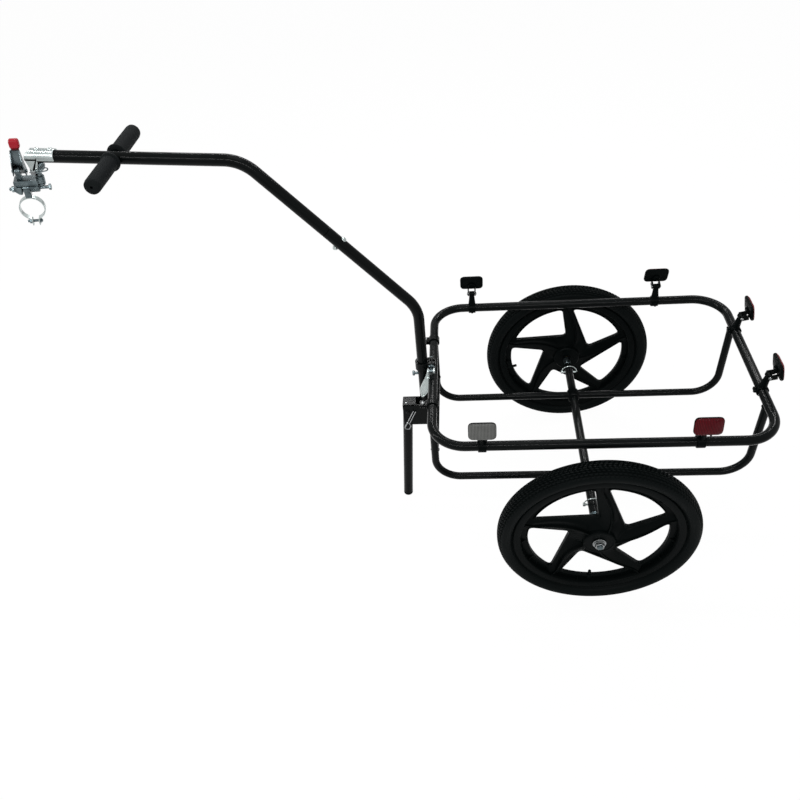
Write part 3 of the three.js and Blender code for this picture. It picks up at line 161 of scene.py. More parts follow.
def hexagon(start, end, radius, phase=0.0):
    """Nut or bolt head: a six sided prism with its corners turned off at both faces."""
    return bar(start, end, radius, radius * 0.07, 6, phase)


def pipe(start, end, radius, bore, edge):
    """Straight open tube: outer wall, inner wall and two chamfered rims in one closed profile."""
    way = np.subtract(end, start)
    length = np.linalg.norm(way)
    profile = [
        [0, radius - edge], [edge, radius], [length - edge, radius], [length, radius - edge],
        [length, bore], [0, bore],
    ]
    return revolve(profile, start, way, loop=True)


def dome(centre, axis, radius, height, sides=24):
    """Rivet or screw head: radius cos a outwards and height sin a upwards, a from 0 to 80 degrees."""
    a = np.radians(np.linspace(0, 80, 6))
    profile = np.column_stack([height * np.sin(a), radius * np.cos(a)])
    return revolve(np.vstack([[-0.5, radius], profile]), centre, axis, sides)


def bolt(on, ends, radius, seat, height, nut, head, edge=0.4, sides=24):
    """Bolt along a line on(distance): a shank between its ends, a domed head on its seat, and a nut."""
    cap = dome(on(seat), on(seat) - on(nut[0]), head, height)
    return [bar(*map(on, ends), radius, edge, sides), cap, hexagon(*map(on, nut), head)]


def bent(corners, bend, step=3.0):
    """A line with its inner corners rounded: along each arc the point is c + bend (sin a t - cos a n), with t
    the heading before the corner and n the inward normal. Gives the points and their headings."""
    corners = np.asarray(corners, float)
    legs = unit(np.diff(corners, axis=0))
    points, headings = [corners[:1]], [legs[:1]]
    for corner, before, after in zip(corners[1:-1], legs, legs[1:]):
        turn = np.arccos(np.clip(before @ after, -1, 1))
        a = np.linspace(0, turn, max(int(np.degrees(turn) / step), 3))[:, None]
        inward = unit(after - before * (before @ after))
        start = corner - before * bend * np.tan(turn / 2)
        points.append(start + bend * inward + bend * (np.sin(a) * before - np.cos(a) * inward))
        headings.append(np.cos(a) * before + np.sin(a) * inward)
    return np.vstack(points + [corners[-1:]]), np.vstack(headings + [legs[-1:]])


def swept(line, normal, radius, sides=40, bore=0.0, edge=0.5):
    """Tube along a flat line: each point carries radius (cos u (n x t) + sin u n). With a bore the inner wall
    runs back the same way and the ends are open."""
    points, headings = line
    ends = np.stack([points[0] + headings[0] * edge, points[-1] - headings[-1] * edge])
    points = np.vstack([points[:1], ends[:1], points[1:-1], ends[1:], points[-1:]])
    headings = np.vstack([headings[:1], headings, headings[-1:]])
    normal = unit(normal)
    turn = np.arange(sides) * FULL / sides
    across = np.cross(normal, headings)
    circle = np.cos(turn)[None, :, None] * across[:, None] + np.sin(turn)[None, :, None] * normal
    wide = np.full((len(points), 1, 1), float(radius))
    wide[[0, -1]] -= edge
    outer = points[:, None] + wide * circle
    if bore:
        return loft(np.vstack([outer, (points[:, None] + bore * circle)[::-1]]), loop=True)
    return loft(outer)


def wire(corners, normal, radius, bend):
    return swept(bent(corners, bend, 10), normal, radius, 12, edge=radius * 0.3)


def outline(corners, radius, steps=5):
    """Closed flat outline with each corner rounded: the corner's two tangent points joined by a curve
    (1-s)^2 a + 2 s (1-s) corner + s^2 b."""
    corners = np.asarray(corners, float)
    radius = np.broadcast_to(radius, len(corners))[:, None, None]
    before = unit(np.roll(corners, 1, 0) - corners)[:, None]
    after = unit(np.roll(corners, -1, 0) - corners)[:, None]
    s = np.linspace(0, 1, steps)[None, :, None]
    middle = corners[:, None]
    start = (1 - s) ** 2 * (middle + radius * before)
    curve = start + 2 * s * (1 - s) * middle + s ** 2 * (middle + radius * after)
    return curve.reshape(-1, 2)


def inset(points, distance):
    """An outline drawn inwards: each point moves along the mean of its two edge normals, over its cosine."""
    following = unit(np.roll(points, -1, 0) - points)
    normals = np.column_stack([-following[:, 1], following[:, 0]])
    mean = unit(normals + np.roll(normals, 1, 0) + 1e-9)
    cosine = np.clip((mean * normals).sum(1, keepdims=True), 0.35, 1)
    area = (points[:, 0] * np.roll(points[:, 1], -1) - np.roll(points[:, 0], -1) * points[:, 1]).sum()
    return points + np.sign(area) * distance * mean / cosine


def stacked(layers, normal="z"):
    """Rings from flat outlines, each with its height along the normal axis."""
    rings = [np.column_stack([flat, np.broadcast_to(height, len(flat))]) for flat, height in layers]
    return np.array(rings)[..., PLANES[normal]]


def plate(flat, low, high, spot=HERE, normal="z", edge=0.4):
    """Plate with softened rims: the outline at low and high, drawn in by edge, and full in between. The
    outline lies in the plane square to the normal axis."""
    small = inset(flat, edge)
    return loft(spot(stacked([(small, low), (flat, low + edge), (flat, high - edge), (small, high)], normal)))


def rectangle(x0, y0, x1, y1):
    return [[x0, y0], [x1, y0], [x1, y1], [x0, y1]]


def block(low, high, spot=HERE, edge=0.4):
    """Box with softened edges."""
    flat = outline(rectangle(*low[:2], *high[:2]), edge, 3)
    return plate(flat, low[2], high[2], spot, edge=edge)


def framed(outer, inner, low, high, spot, normal, edge):
    """Plate with one opening: its outer and inner outlines have as many points, and the grid runs round its
    wall."""
    layers = [
        (outer, low + edge), (outer, high - edge), (inset(outer, edge), high), (inset(inner, -edge), high),
        (inner, high - edge), (inner, low + edge), (inset(inner, -edge), low), (inset(outer, edge), low),
    ]
    return loft(spot(stacked(layers, normal)), loop=True)


def walk(points):
    """A closed outline, its first point again at the end, and the length walked to each point."""
    closed = np.vstack([points, points[:1]])
    return closed, np.append(0, np.cumsum(np.linalg.norm(np.diff(closed, axis=0), axis=1)))


def met(closed, lengths, marks):
    """The points met on a walk after the lengths in marks."""
    return np.column_stack([np.interp(marks, lengths, closed[:, i]) for i in range(2)])


def even(points, count):
    """A closed outline walked in equal steps."""
    closed, lengths = walk(points)
    return met(closed, lengths, np.arange(count) / count * lengths[-1])


# Objects
def placed(name, data, turn=np.eye(3), place=(0, 0, 0)):
    """Adds an object to the scene, at a place in metres, its own axes in the columns of turn."""
    made = bpy.data.objects.new(name, data)
    made.matrix_world = Matrix([[*turn[i], place[i]] for i in range(3)] + [[0, 0, 0, 1]])
    bpy.context.scene.collection.objects.link(made)
    return made


def piece(name, body, finish, surfaces, stands_for=(), smooth=32.0, slot=None):
    """One mesh object from surfaces in millimetres, riding on a body. Its slot, its finish's own unless
    another is given, is worked out but not given to the object."""
    counts = np.append(0, np.cumsum([len(points) for points, _ in surfaces]))
    points = np.vstack([points for points, _ in surfaces])
    points = (points + [AXLE_X, 0, 0]) * METRE
    polygons = [face + start for (_, faces), start in zip(surfaces, counts) for face in faces]
    sizes = np.concatenate([np.full(len(face), face.shape[1]) for face in polygons])
    corners = np.concatenate([face.ravel() for face in polygons])
    mesh = bpy.data.meshes.new(name)
    mesh.vertices.add(len(points))
    mesh.vertices.foreach_set("co", points.ravel())
    mesh.loops.add(len(corners))
    mesh.loops.foreach_set("vertex_index", corners)
    mesh.polygons.add(len(sizes))
    mesh.polygons.foreach_set("loop_start", np.append(0, np.cumsum(sizes)[:-1]))
    mesh.polygons.foreach_set("loop_total", sizes)
    mesh.update(calc_edges=True)
    mesh.validate()
    mesh.shade_smooth()
    mesh.set_sharp_from_angle(angle=np.radians(smooth))
    mesh.materials.append(finish)
    made = placed(name, mesh)
    if stands_for:
        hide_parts(*stands_for)
    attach(made, body)
    slot = slot or SLOTS[finish]


# Shaders
class Signal:
    """A shader value that adds and multiplies like a number, one Math node for each sum."""

    def __init__(self, nodes, socket):
        self.nodes, self.socket = nodes, socket

    def math(self, operation, other):
        return self.nodes.node("Math", {0: self, 1: other}, operation=operation)

    def __add__(self, other):
        return self.math("ADD", other)

    def __mul__(self, other):
        return self.math("MULTIPLY", other)

    __radd__, __rmul__ = __add__, __mul__


class Nodes:
    """The node tree of a material or a world, whose nodes are all made by one method."""

    def __init__(self, owner):
        owner.use_nodes = True
        self.tree = owner.node_tree
        self.tree.nodes.clear()

    def node(self, kind, values=None, out=0, **settings):
        """Adds a node: its settings are set first, then each socket's value or link."""
        made = self.tree.nodes.new("ShaderNode" + kind)
        for key, value in settings.items():
            setattr(made, key, value)
        for key, value in (values or {}).items():
            if isinstance(value, Signal):
                self.tree.links.new(value.socket, made.inputs[key])
            else:
                made.inputs[key].default_value = value
        return Signal(self, made.outputs[out])

    def close(self, shader, kind="Material"):
        output = self.tree.nodes.new("ShaderNodeOutput" + kind)
        self.tree.links.new(shader.socket, output.inputs["Surface"])


class Finish(Nodes):
    """A material on Object coordinates."""

    def __init__(self, name):
        self.material = bpy.data.materials.new(name)
        super().__init__(self.material)
        self.place = self.node("TexCoord", out="Object")

    def noise(self, scale, detail=2.0, roughness=0.5):
        values = {"Vector": self.place, "Scale": scale, "Detail": detail, "Roughness": roughness}
        return self.node("TexNoise", values, "Fac")

    def span(self, value, low, high, start=0.3, end=0.7):
        """Carries a value from start..end over to low..high."""
        return self.node("MapRange", {0: value, 1: start, 2: end, 3: low, 4: high})

    def blend(self, share, first, second):
        """A colour between two, of which the second may be a Signal."""
        second = second if isinstance(second, Signal) else (*second, 1)
        return self.node("Mix", {0: share, 6: (*first, 1), 7: second}, 2, data_type="RGBA")

    def bump(self, height, strength, distance):
        return self.node("Bump", {"Height": height, "Strength": strength, "Distance": distance})

    def surface(self, colour, roughness, normal, shine=0.5, metal=0.0):
        """Closes the material with a Principled shader. Shine is its specular level."""
        values = {"Base Color": colour, "Roughness": roughness, "Normal": normal, "Metallic": metal,
                  "Specular IOR Level": shine}
        self.close(self.node("BsdfPrincipled", values))
        return self.material


def paint():
    """Gloss black powder coat: faint orange peel, slightly uneven gloss."""
    f = Finish("gloss_black_powder_coat")
    peel = f.noise(300, 1.0)
    patch = f.noise(14, 3.0)
    colour = f.blend(patch, (0.0014, 0.0020, 0.0020), (0.0030, 0.0038, 0.0039))
    roughness = f.span(patch, 0.13, 0.22)
    return f.surface(colour, roughness, f.bump(peel, 0.05, 0.0003), 0.055)


def moulded():
    """Satin black nylon of the wheels: fine spark grain and a slight sheen."""
    f = Finish("satin_black_nylon")
    grain = f.noise(1500, 2.0)
    patch = f.noise(9, 3.0)
    colour = f.blend(patch, (0.0007, 0.0013, 0.0013), (0.0014, 0.0024, 0.0024))
    spark = f.bump(grain, 0.2, 0.0003)
    return f.surface(colour, f.span(grain, 0.30, 0.40), spark, 0.026)


def rubber():
    """Black tyre rubber: dull, with a little dust that lightens it in patches."""
    f = Finish("tyre_rubber")
    grain = f.noise(900, 3.0)
    patch = f.noise(22, 4.0)
    colour = f.blend(patch, (0.0012, 0.0020, 0.0020), (0.0026, 0.0038, 0.0038))
    pits = f.bump(grain, 0.25, 0.0004)
    return f.surface(colour, f.span(patch, 0.42, 0.56), pits, 0.03)


def foam():
    """Closed cell foam of the grips: fine pores."""
    f = Finish("foam_grip")
    pores = f.node("TexVoronoi", {"Vector": f.place, "Scale": 700.0}, "Distance")
    patch = f.noise(30, 3.0)
    colour = f.blend(patch, (0.0030, 0.0039, 0.0043), (0.0066, 0.0080, 0.0085))
    return f.surface(colour, 0.72, f.bump(pores, 0.5, 0.0006), 0.05)


def plated(name, light, dark, low, high, scale=60):
    """Plated or bright steel: soft clouding and fine scratches change its tone and gloss."""
    f = Finish(name)
    cloud = f.noise(scale, 3.0, 0.6)
    fine = f.noise(1200, 2.0)
    colour = f.blend(f.span(cloud, 0.0, 1.0), dark, light)
    roughness = f.span(cloud, low, high)
    return f.surface(colour, roughness, f.bump(fine, 0.06, 0.0002), metal=1.0)


def dipped():
    """Soft red vinyl of the dipped cap: darker towards its lower rim, 930 mm up."""
    f = Finish("dipped_red_vinyl")
    patch = f.noise(60, 3.0)
    height = f.node("SeparateXYZ", {0: f.place}, 2)
    rim = f.span(height, 0.0, 1.0, 0.9295, 0.9335)
    upper_red = f.blend(patch, (0.25, 0.007, 0.014), (0.32, 0.010, 0.021))
    colour = f.blend(rim, (0.075, 0.003, 0.005), upper_red)
    grain = f.bump(f.noise(500), 0.08, 0.0004)
    return f.surface(colour, f.span(patch, 0.30, 0.42), grain, 0.15)


def lens(name, light, dark, along):
    """Reflector lens: upright prisms, 2.6 mm apart along the rail, each cut into a row of small cells."""
    f = Finish(name)

    def wave(way, scale):
        return f.node("TexWave", {"Vector": f.place, "Scale": scale}, "Fac", bands_direction=way)

    prism = wave(along, 121.0)
    row = wave("Z", 150.0)
    patch = f.noise(70, 2.0)
    tone = prism * 0.6 + row * 0.22 + patch * 0.3
    colour = f.blend(f.span(tone, 0.0, 1.0, 0.2, 0.85), dark, light)
    relief = f.bump(prism * 0.8 + row * 0.2, 0.45, 0.0007)
    return f.surface(colour, f.span(patch, 0.12, 0.24), relief, 0.07)


BLACK = paint()
NYLON = moulded()
RUBBER = rubber()
FOAM = foam()
ZINC = plated("zinc_plate", (0.47, 0.515, 0.51), (0.31, 0.35, 0.345), 0.22, 0.34, 28)
# Painted shade: a darker copy of the zinc plate for the coupling, pins, strap lug and stub axle. Its dark
# colour stands in for the shade and the dark surroundings these parts reflect, not for a duller plating.
SHADED_ZINC = plated("zinc_plate_painted_shade", (0.155, 0.19, 0.20), (0.035, 0.048, 0.053), 0.22, 0.36, 45)
STEEL = plated("bright_steel", (0.36, 0.37, 0.37), (0.14, 0.15, 0.155), 0.18, 0.30)
BRASS = plated("turned_brass", (0.62, 0.47, 0.20), (0.45, 0.32, 0.13), 0.25, 0.35)
VINYL = dipped()
RED_LENS = lens("red_lens", (0.085, 0.0040, 0.0075), (0.018, 0.0008, 0.0016), "X")
RED_TAIL_LENS = lens("red_tail_lens", (0.20, 0.008, 0.014), (0.050, 0.0016, 0.003), "Y")
CLEAR_LENS = lens("clear_lens", (0.135, 0.137, 0.132), (0.040, 0.041, 0.039), "X")
SLOTS = {
    BLACK: "powder_coat", NYLON: "black_plastic", RUBBER: "black_rubber", FOAM: "foam_grip",
    VINYL: "red_plastic", ZINC: "zinc_plate", SHADED_ZINC: "plain_steel", STEEL: "plain_steel",
    RED_LENS: "red_lens", RED_TAIL_LENS: "red_lens", CLEAR_LENS: "clear_lens",
}


# Frame
SEAM = 12.0
COPE_Z, BEAD_Z = RAIL_Z - 5, RAIL_Z - 10.2
SLEEVE_HALF, SLEEVE_RADIUS, SLEEVE_BORE = 12.5, 13.0, 9.7
AXLE_TUBE_RADIUS, AXLE_TUBE_BORE = 9.5, 6.3
CLAMP_SIDE, CLAMP_HALF, CLAMP_RADIUS, CLAMP_BORE = 104.0, 8.0, 12.3, 9.8
EAR_GAP, EAR_THICK, EAR_END, EAR_BOLT = 1.5, 3.0, -25.3, -18.8


def ring_bead(centre, axis):
    """Weld bead round a thin tube: a torus whose section has the radius 1.3 (1 + 0.18 sin 9u)."""
    u = np.arange(48) * FULL / 48
    v = np.arange(10) * FULL / 10
    out = spread(axis, u)
    thick = 1.3 * (1 + 0.18 * np.sin(9 * u))[:, None, None]
    section = np.cos(v)[None, :, None] * out[:, None] + np.sin(v)[None, :, None] * axis
    return loft(np.asarray(centre) + (LOOP_RADIUS + 0.2) * out[:, None] + thick * section, loop=True)


def frame_tubes():
    for (side, name), seam in zip(SIDES, (SEAM, SEAM + GAP)):
        edge = side * FRAME_SIDE
        corners = [[FRAME_FRONT, seam, RAIL_Z], [FRAME_FRONT, edge, RAIL_Z],
                   [FRAME_REAR, edge, RAIL_Z], [FRAME_REAR, seam, RAIL_Z]]
        tube = swept(bent(corners, RAIL_BEND), Z, RAIL_RADIUS, 48, edge=0.8)
        piece(f"upper_frame_{name}", "frame", BLACK, [tube], [f"frame_half_{name}"])
    for side, name in SIDES:
        y = side * LOOP_SIDE
        corners = [[FRAME_FRONT, y, COPE_Z], [FRAME_FRONT, y, AXLE_Z], [FRAME_REAR, y, AXLE_Z],
                   [FRAME_REAR, y, COPE_Z]]
        sleeve = [[0, y + step, AXLE_Z] for step in (-SLEEVE_HALF, SLEEVE_HALF)]
        parts = [
            swept(bent(corners, LOOP_BEND), Y, LOOP_RADIUS, 40),
            pipe(*sleeve, SLEEVE_RADIUS, SLEEVE_BORE, 0.8),
            *[ring_bead([x, y, BEAD_Z], Z) for x in (FRAME_FRONT, FRAME_REAR)],
        ]
        piece(f"side_loop_{name}_tube", "frame", BLACK, parts, [f"side_loop_{name}"])
    reach = LOOP_SIDE - LOOP_RADIUS + 1.5
    on = lambda y: [FRAME_FRONT, y, LOWER_BAR_Z]
    parts = [bar(on(-reach), on(reach), LOOP_RADIUS, sides=40)]
    parts += [ring_bead(on(y), Y) for y in (2 - reach, reach - 2)]
    piece("lower_crossbar_tube", "frame", BLACK, parts, ["front_crossbar"])
    ends = [[0, -AXLE_TUBE_REACH, AXLE_Z], [0, AXLE_TUBE_REACH, AXLE_Z]]
    tube = pipe(*ends, AXLE_TUBE_RADIUS, AXLE_TUBE_BORE, 0.6)
    piece("axle_tube_turned", "frame", BLACK, [tube], ["axle_tube"])


def crossbar_clamps():
    for side, name in SIDES:
        spot = Spot([FRAME_FRONT, side * CLAMP_SIDE, RAIL_Z])
        parts = [pipe(spot([0, -CLAMP_HALF, 0]), spot([0, CLAMP_HALF, 0]), CLAMP_RADIUS, CLAMP_BORE, 0.5)]
        for low in (EAR_GAP, -EAR_GAP - EAR_THICK):
            high = low + EAR_THICK
            ear = outline(rectangle(EAR_END, low, -8, high), 0.5, 3)
            parts.append(plate(ear, -CLAMP_HALF, CLAMP_HALF, spot, "y"))
        piece(f"crossbar_clamp_{name}", "frame", BLACK, parts, [f"clamp_{name}"])
        on = lambda z: spot([EAR_BOLT, 0, z])
        screw = bolt(on, (-9, 8), 2.5, EAR_GAP + EAR_THICK, 3.2, (-8, -EAR_GAP - EAR_THICK), 4.6, sides=20)
        piece(f"crossbar_clamp_bolt_{name}", "frame", STEEL, screw)


# Drawbar
SLOPE = unit(UPPER_CORNER - LOWER_CORNER)
LEVEL = unit(UPPER_CORNER - HITCH_END)
LEVEL_UP = at(-LEVEL[2], 0, LEVEL[0])
SLOPE_UP = at(SLOPE[2], 0, -SLOPE[0])
JOINT = LOWER_CORNER + 240 * SLOPE
JOINT_BOLT = JOINT - 34 * SLOPE
HANDLE = HITCH_END + 146 * LEVEL
HANDLE_HALF, HANDLE_RADIUS, HANDLE_BORE = 108.0, 8.0, 6.5
DRAWBAR_FOOT_Z, DRAWBAR_BORE, SPIGOT_RADIUS = 250.0, 9.5, 9.2
FOOT_PIN_Z, FOOT_PIN_END, FOOT_PIN_KNOB = 390.0, -326.0, 5.5
COLLAR_LOW, COLLAR_HIGH, COLLAR_RADIUS, COLLAR_BORE = 403.8, 423.8, 15.3, 11.3
SKEWER = np.array([-325.0, 0.0, 414.1])
CAM_SIDE = -23.7


def drawbar_tubes():
    tube = lambda corners: swept(bent(corners, DRAWBAR_BEND), Y, DRAWBAR_RADIUS, 48, DRAWBAR_BORE, 0.8)
    lower = tube([[DRAWBAR_X, 0, DRAWBAR_FOOT_Z], LOWER_CORNER, JOINT])
    piece("drawbar_lower_tube", "frame", BLACK, [lower], ["drawbar_lower"])
    upper = tube([HITCH_END, UPPER_CORNER, JOINT + GAP * SLOPE])
    spigot = bar(JOINT - 58 * SLOPE, JOINT + 3 * SLOPE, SPIGOT_RADIUS)
    piece("drawbar_upper_tube", "frame", BLACK, [upper, spigot], ["drawbar_upper"])
    on = lambda distance: JOINT_BOLT + distance * SLOPE_UP
    screw = bolt(on, (-18.2, 14), 3, 11.1, 3.2, (-15.3, -11.3), 5.5, edge=0.5)
    piece("drawbar_joint_screw", "frame", ZINC, screw, ["drawbar_joint_bolt"])
    start = at(DRAWBAR_X - DRAWBAR_RADIUS - 12, 0, FOOT_PIN_Z)
    knob = [[0, FOOT_PIN_KNOB - 0.9], [0.8, FOOT_PIN_KNOB], [4.2, FOOT_PIN_KNOB], [5, FOOT_PIN_KNOB - 0.9]]
    pin = [bar(start, [FOOT_PIN_END, 0, FOOT_PIN_Z], 3, 0.5, 24), revolve(knob, start, X, 32)]
    piece("drawbar_foot_pin", "frame", SHADED_ZINC, pin, ["drawbar_lock_pin"], slot="zinc_plate")


def drawbar_collar():
    spot = Spot([DRAWBAR_X, 0, 0])
    band = pipe(spot([0, 0, COLLAR_LOW]), spot([0, 0, COLLAR_HIGH]), COLLAR_RADIUS, COLLAR_BORE, 0.8)
    ears = [block([10.5, y, COLLAR_LOW], [27.5, y + 10, COLLAR_HIGH], spot, 1.2) for y in (-11.5, 1.5)]
    piece("drawbar_collar_cast", "frame", BLACK, [band, *ears], ["drawbar_collar"])
    on = lambda y: SKEWER + at(0, y, 0)
    cam = lambda reach: (SKEWER + at(-reach, CAM_SIDE, 0), SKEWER + at(reach, CAM_SIDE, 0))
    skewer = [
        bar(on(CAM_SIDE), on(20.8), 2.5, 0.4, 24),
        revolve([[0, 6.5], [5, 6.5], [7.5, 5.2], [9, 4.0]], on(11.8), Y, 32),
        revolve([[0, 6.5], [0.6, 6.9], [3.4, 8], [4, 7.8]], on(-15.8), Y, 32),
        bar(*cam(4), 4),
        bar(*cam(7.8), 2, 0.3, 20),
    ]
    piece("quick_release_rod", "frame", SHADED_ZINC, skewer, ["quick_release_skewer"])


def quick_release_lever():
    """Lever blade: a flat leaf, wide in X, that leans forward, with a rim raised round a sunk panel."""
    spot = Spot(SKEWER + at(0, CAM_SIDE, 0))
    blade = [[7.8, 1.0], [6.0, -5.5], [3.0, -12.0], [2.7, -27.0], [-9.5, -58.0], [-18.0, -70.0],
             [-21.5, -72.0], [-25.5, -70.5], [-26.9, -50.0], [-12.5, -14.0], [-9.0, -3.0], [-7.8, 3.5]]
    arm = plate(outline(blade, [1.5, 2, 3, 8, 10, 2, 2, 3, 8, 8, 2, 1]), -2.4, 2.5, spot, "y", 0.8)
    ring = [[1.6, -15.0], [1.4, -27.0], [-10.6, -57.6], [-19.8, -70.0], [-24.6, -69.0], [-25.6, -50.0],
            [-11.4, -15.0]]
    panel = [[-1.0, -18.0], [-1.2, -27.5], [-13.0, -56.6], [-19.8, -65.6], [-22.0, -65.0], [-23.0, -50.4],
             [-9.6, -18.0]]
    rim = framed(even(outline(ring, 2.0), 56), even(outline(panel, 1.4), 56), -3.9, -2.2, spot, "y", 0.35)
    cheeks = [bar(spot([a, 0, 0]), spot([b, 0, 0]), 6.5, 0.5) for a, b in ((-7.8, -4.3), (4.3, 7.8))]
    piece("quick_release_blade", "quick_release", ZINC, [arm, rim, *cheeks], ["quick_release_lever"])


def handle():
    on = lambda y: HANDLE + at(0, y, 0)
    tube = pipe(on(-HANDLE_HALF), on(HANDLE_HALF), HANDLE_RADIUS, HANDLE_BORE, 0.5)
    piece("handle_cross_tube", "frame", BLACK, [tube], ["handle_tube"])
    bore = HANDLE_RADIUS + GAP
    profile = [
        [15, bore], [15, 16.2], [15.8, 17], [18.6, 17], [20, 16.2], [20.8, 14.4], [24, 14], [60, 14.2],
        [104, 14], [109.2, 13.2], [111.3, 11.2], [111.3, 2.5], [108.3, 2.5], [108.3, bore],
    ]
    for side, name in SIDES:
        grip = revolve(profile, HANDLE, at(0, side, 0), 56, loop=True)
        piece(f"foam_grip_{name}", "frame", FOAM, [grip], [f"grip_{name}"], smooth=50)


# Hitch and coupling
HITCH = Spot(HITCH_END, np.array([LEVEL, Y, LEVEL_UP]))
HITCH_RADIUS, HITCH_BORE, HITCH_BACK, HITCH_SKIRT = 13.5, 11.5, 44.0, 3.0
PIN_X, PIN_DROP = 3, -23
LINK = Spot(HITCH([PIN_X, 0, PIN_DROP]), about(Y, 8))
HEAD = LINK.moved([0, 0, 0], about(Z, 18))
ROLL_DROP, LEVER_DROP = -36, -3
STRAP_DROP = -74
STRAP = HEAD.moved([-27, 0, STRAP_DROP])
STRAP_RADIUS, STRAP_BOLT_DROP = 21, -26.5


def flat_wire(spot, route, radius, bend):
    """Bent wire in the plane square to a spot's Y."""
    x, z = np.transpose(route)
    return wire(spot(np.column_stack([x, 0 * x, z])), Y, radius, bend)


def hitch():
    """Sheet bracket over the drawbar's end: at angle a its wall stands at radius (cos a, sin a), and its
    front edge draws back by 12 (1 - |cos a|), so that the nose is round. Two lugs taper down to the pin."""
    a = np.radians(np.linspace(0, 180, 31))
    side = np.concatenate([[1], np.cos(a), [-1]])
    rise = np.concatenate([[0], np.sin(a), [0]])
    skirt = np.concatenate([[-HITCH_SKIRT], np.zeros(31), [-HITCH_SKIRT]])
    front = 12 * (1 - np.abs(side)) - 8
    rear = np.full(len(side), HITCH_BACK)
    small = HITCH_RADIUS - 0.5
    layers = ((front, small), (front + 0.5, HITCH_RADIUS), (rear - 0.5, HITCH_RADIUS), (rear, small),
              (rear, HITCH_BORE), (front, HITCH_BORE))
    rings = np.stack([np.column_stack([x, radius * side, radius * rise + skirt]) for x, radius in layers], 1)
    lug = [[-8, 1], [-1.5, -25], [0, -30], [6.5, -30], [8.5, -25], [14, -3], [14, 1]]
    lug = outline(lug, [0.5, 5, 5, 5, 5, 5, 0.5])
    walls = ((-HITCH_RADIUS, -HITCH_BORE), (HITCH_BORE, HITCH_RADIUS))
    cheeks = [plate(lug, low, high, HITCH, "y", 0.3) for low, high in walls]
    rivets = [dome(HITCH([x, 0, HITCH_RADIUS - 0.2]), LEVEL_UP, 4.5, 2.4) for x in (13, 37)]
    piece("hitch_channel", "frame", ZINC, [loft(HITCH(rings)), *cheeks, *rivets], ["hitch_bracket"])
    on = lambda y: HITCH([PIN_X, y, PIN_DROP])
    pin = [bar(on(-19.8), on(17.3), 4, 0.6, 28), bar(on(13.8), on(17.3), 7, 0.6)]
    piece("hitch_cross_pin", "frame", STEEL, pin, ["hitch_pin"], slot="zinc_plate")
    route = [[-7, -1.7], [25, -1.7], [31, 1.0], [25, 3.8], [18, 1.6], [-7, 1.6]]
    clip = flat_wire(HITCH.moved([PIN_X, -16.8, PIN_DROP], about(Y, -14)), route, 1.0, 1.6)
    piece("hitch_spring_clip", "frame", SHADED_ZINC, [clip], ["hitch_clip"])


def swivel_link():
    parts = [
        bar(LINK([0, -11.1, 0]), LINK([0, 11.1, 0]), 9, 0.8, 40),
        bar(LINK([0, 0, -30]), LINK.origin, 5, 0.4, 28),
        bar(LINK([0, 0, -30]), LINK([0, 0, -27]), 7, 0.4, 28),
    ]
    piece("swivel_eye", "link", SHADED_ZINC, parts, ["swivel_link"])


def coupling_head():
    """Cast head: a bar and a foot, parted by a groove, with a toe in front of the strap, a round boss at the
    swivel and a lug for the lever."""
    toe = [[-46, -28.5], [-33.3, -28.5], [-33.3, -41.5], [-38.5, -41.5], [-46, -34.5]]
    parts = [
        block([-44, -13, -25.2], [-4, 13, -17], HEAD, 1.4),
        block([-42, -9, -28.6], [-5, 9, -25.0], HEAD, 0.5),
        plate(outline(toe, [1, 1, 1, 2, 3]), -14, 14, HEAD, "y", 1.0),
        block([-20.7, -12, -33.5], [-5, 12, -28.5], HEAD, 1.2),
        bar(HEAD([-20.7, 0, -35]), HEAD([-5, 0, -35]), 8.2, 1.2),
        bar(HEAD([0, 0, -26.6]), HEAD([0, 0, -13.0]), 7.4, 1.0, 36),
        block([-6, -8, -26.0], [2, 8, -17.6], HEAD, 1.0),
        block([-38, -6, -17.4], [-29, 6, LEVER_DROP], HEAD, 1.0),
        bar(HEAD([-38, 0, LEVER_DROP]), HEAD([-29, 0, LEVER_DROP]), 6, 0.5),
    ]
    piece("coupling_head_cast", "head", SHADED_ZINC, parts, ["coupling_head"], slot="zinc_plate")
    on = lambda x: HEAD([x, 0, ROLL_DROP])
    screw = [bar(on(-55.3), on(14.3), 3, 0.4, 24)]
    screw += [hexagon(on(low), on(high), 5.5) for low, high in ((10.3, 14.3), (-51.3, -46.3))]
    piece("swivel_bolt_turned", "head", SHADED_ZINC, screw, ["swivel_bolt"])


def lever_spring():
    """Coil round the lever's pin, with two straight ends. Its centre line is (pitch u, r cos u, -r sin u)."""
    turns, pitch, radius = 3.5, 1.75, 4.2
    u = np.linspace(0, turns * FULL, int(turns * 24) + 1)
    line = np.column_stack([-28.1 + pitch * u / FULL, radius * np.cos(u), LEVER_DROP - radius * np.sin(u)])
    tangent = unit(np.gradient(line, axis=0))
    line = np.vstack([line[:1] - 6 * tangent[:1], line, line[-1:] + 6 * tangent[-1:]])
    tangent = np.vstack([tangent[:1], tangent, tangent[-1:]])
    across = unit(np.cross(tangent, X))
    v = np.arange(8)[None, :, None] * FULL / 8
    section = np.cos(v) * across[:, None] + np.sin(v) * np.cross(tangent, across)[:, None]
    coil = loft(HEAD(line[:, None] + 0.6 * section))
    piece("release_spring_coil", "head", STEEL, [coil], ["lever_spring"])


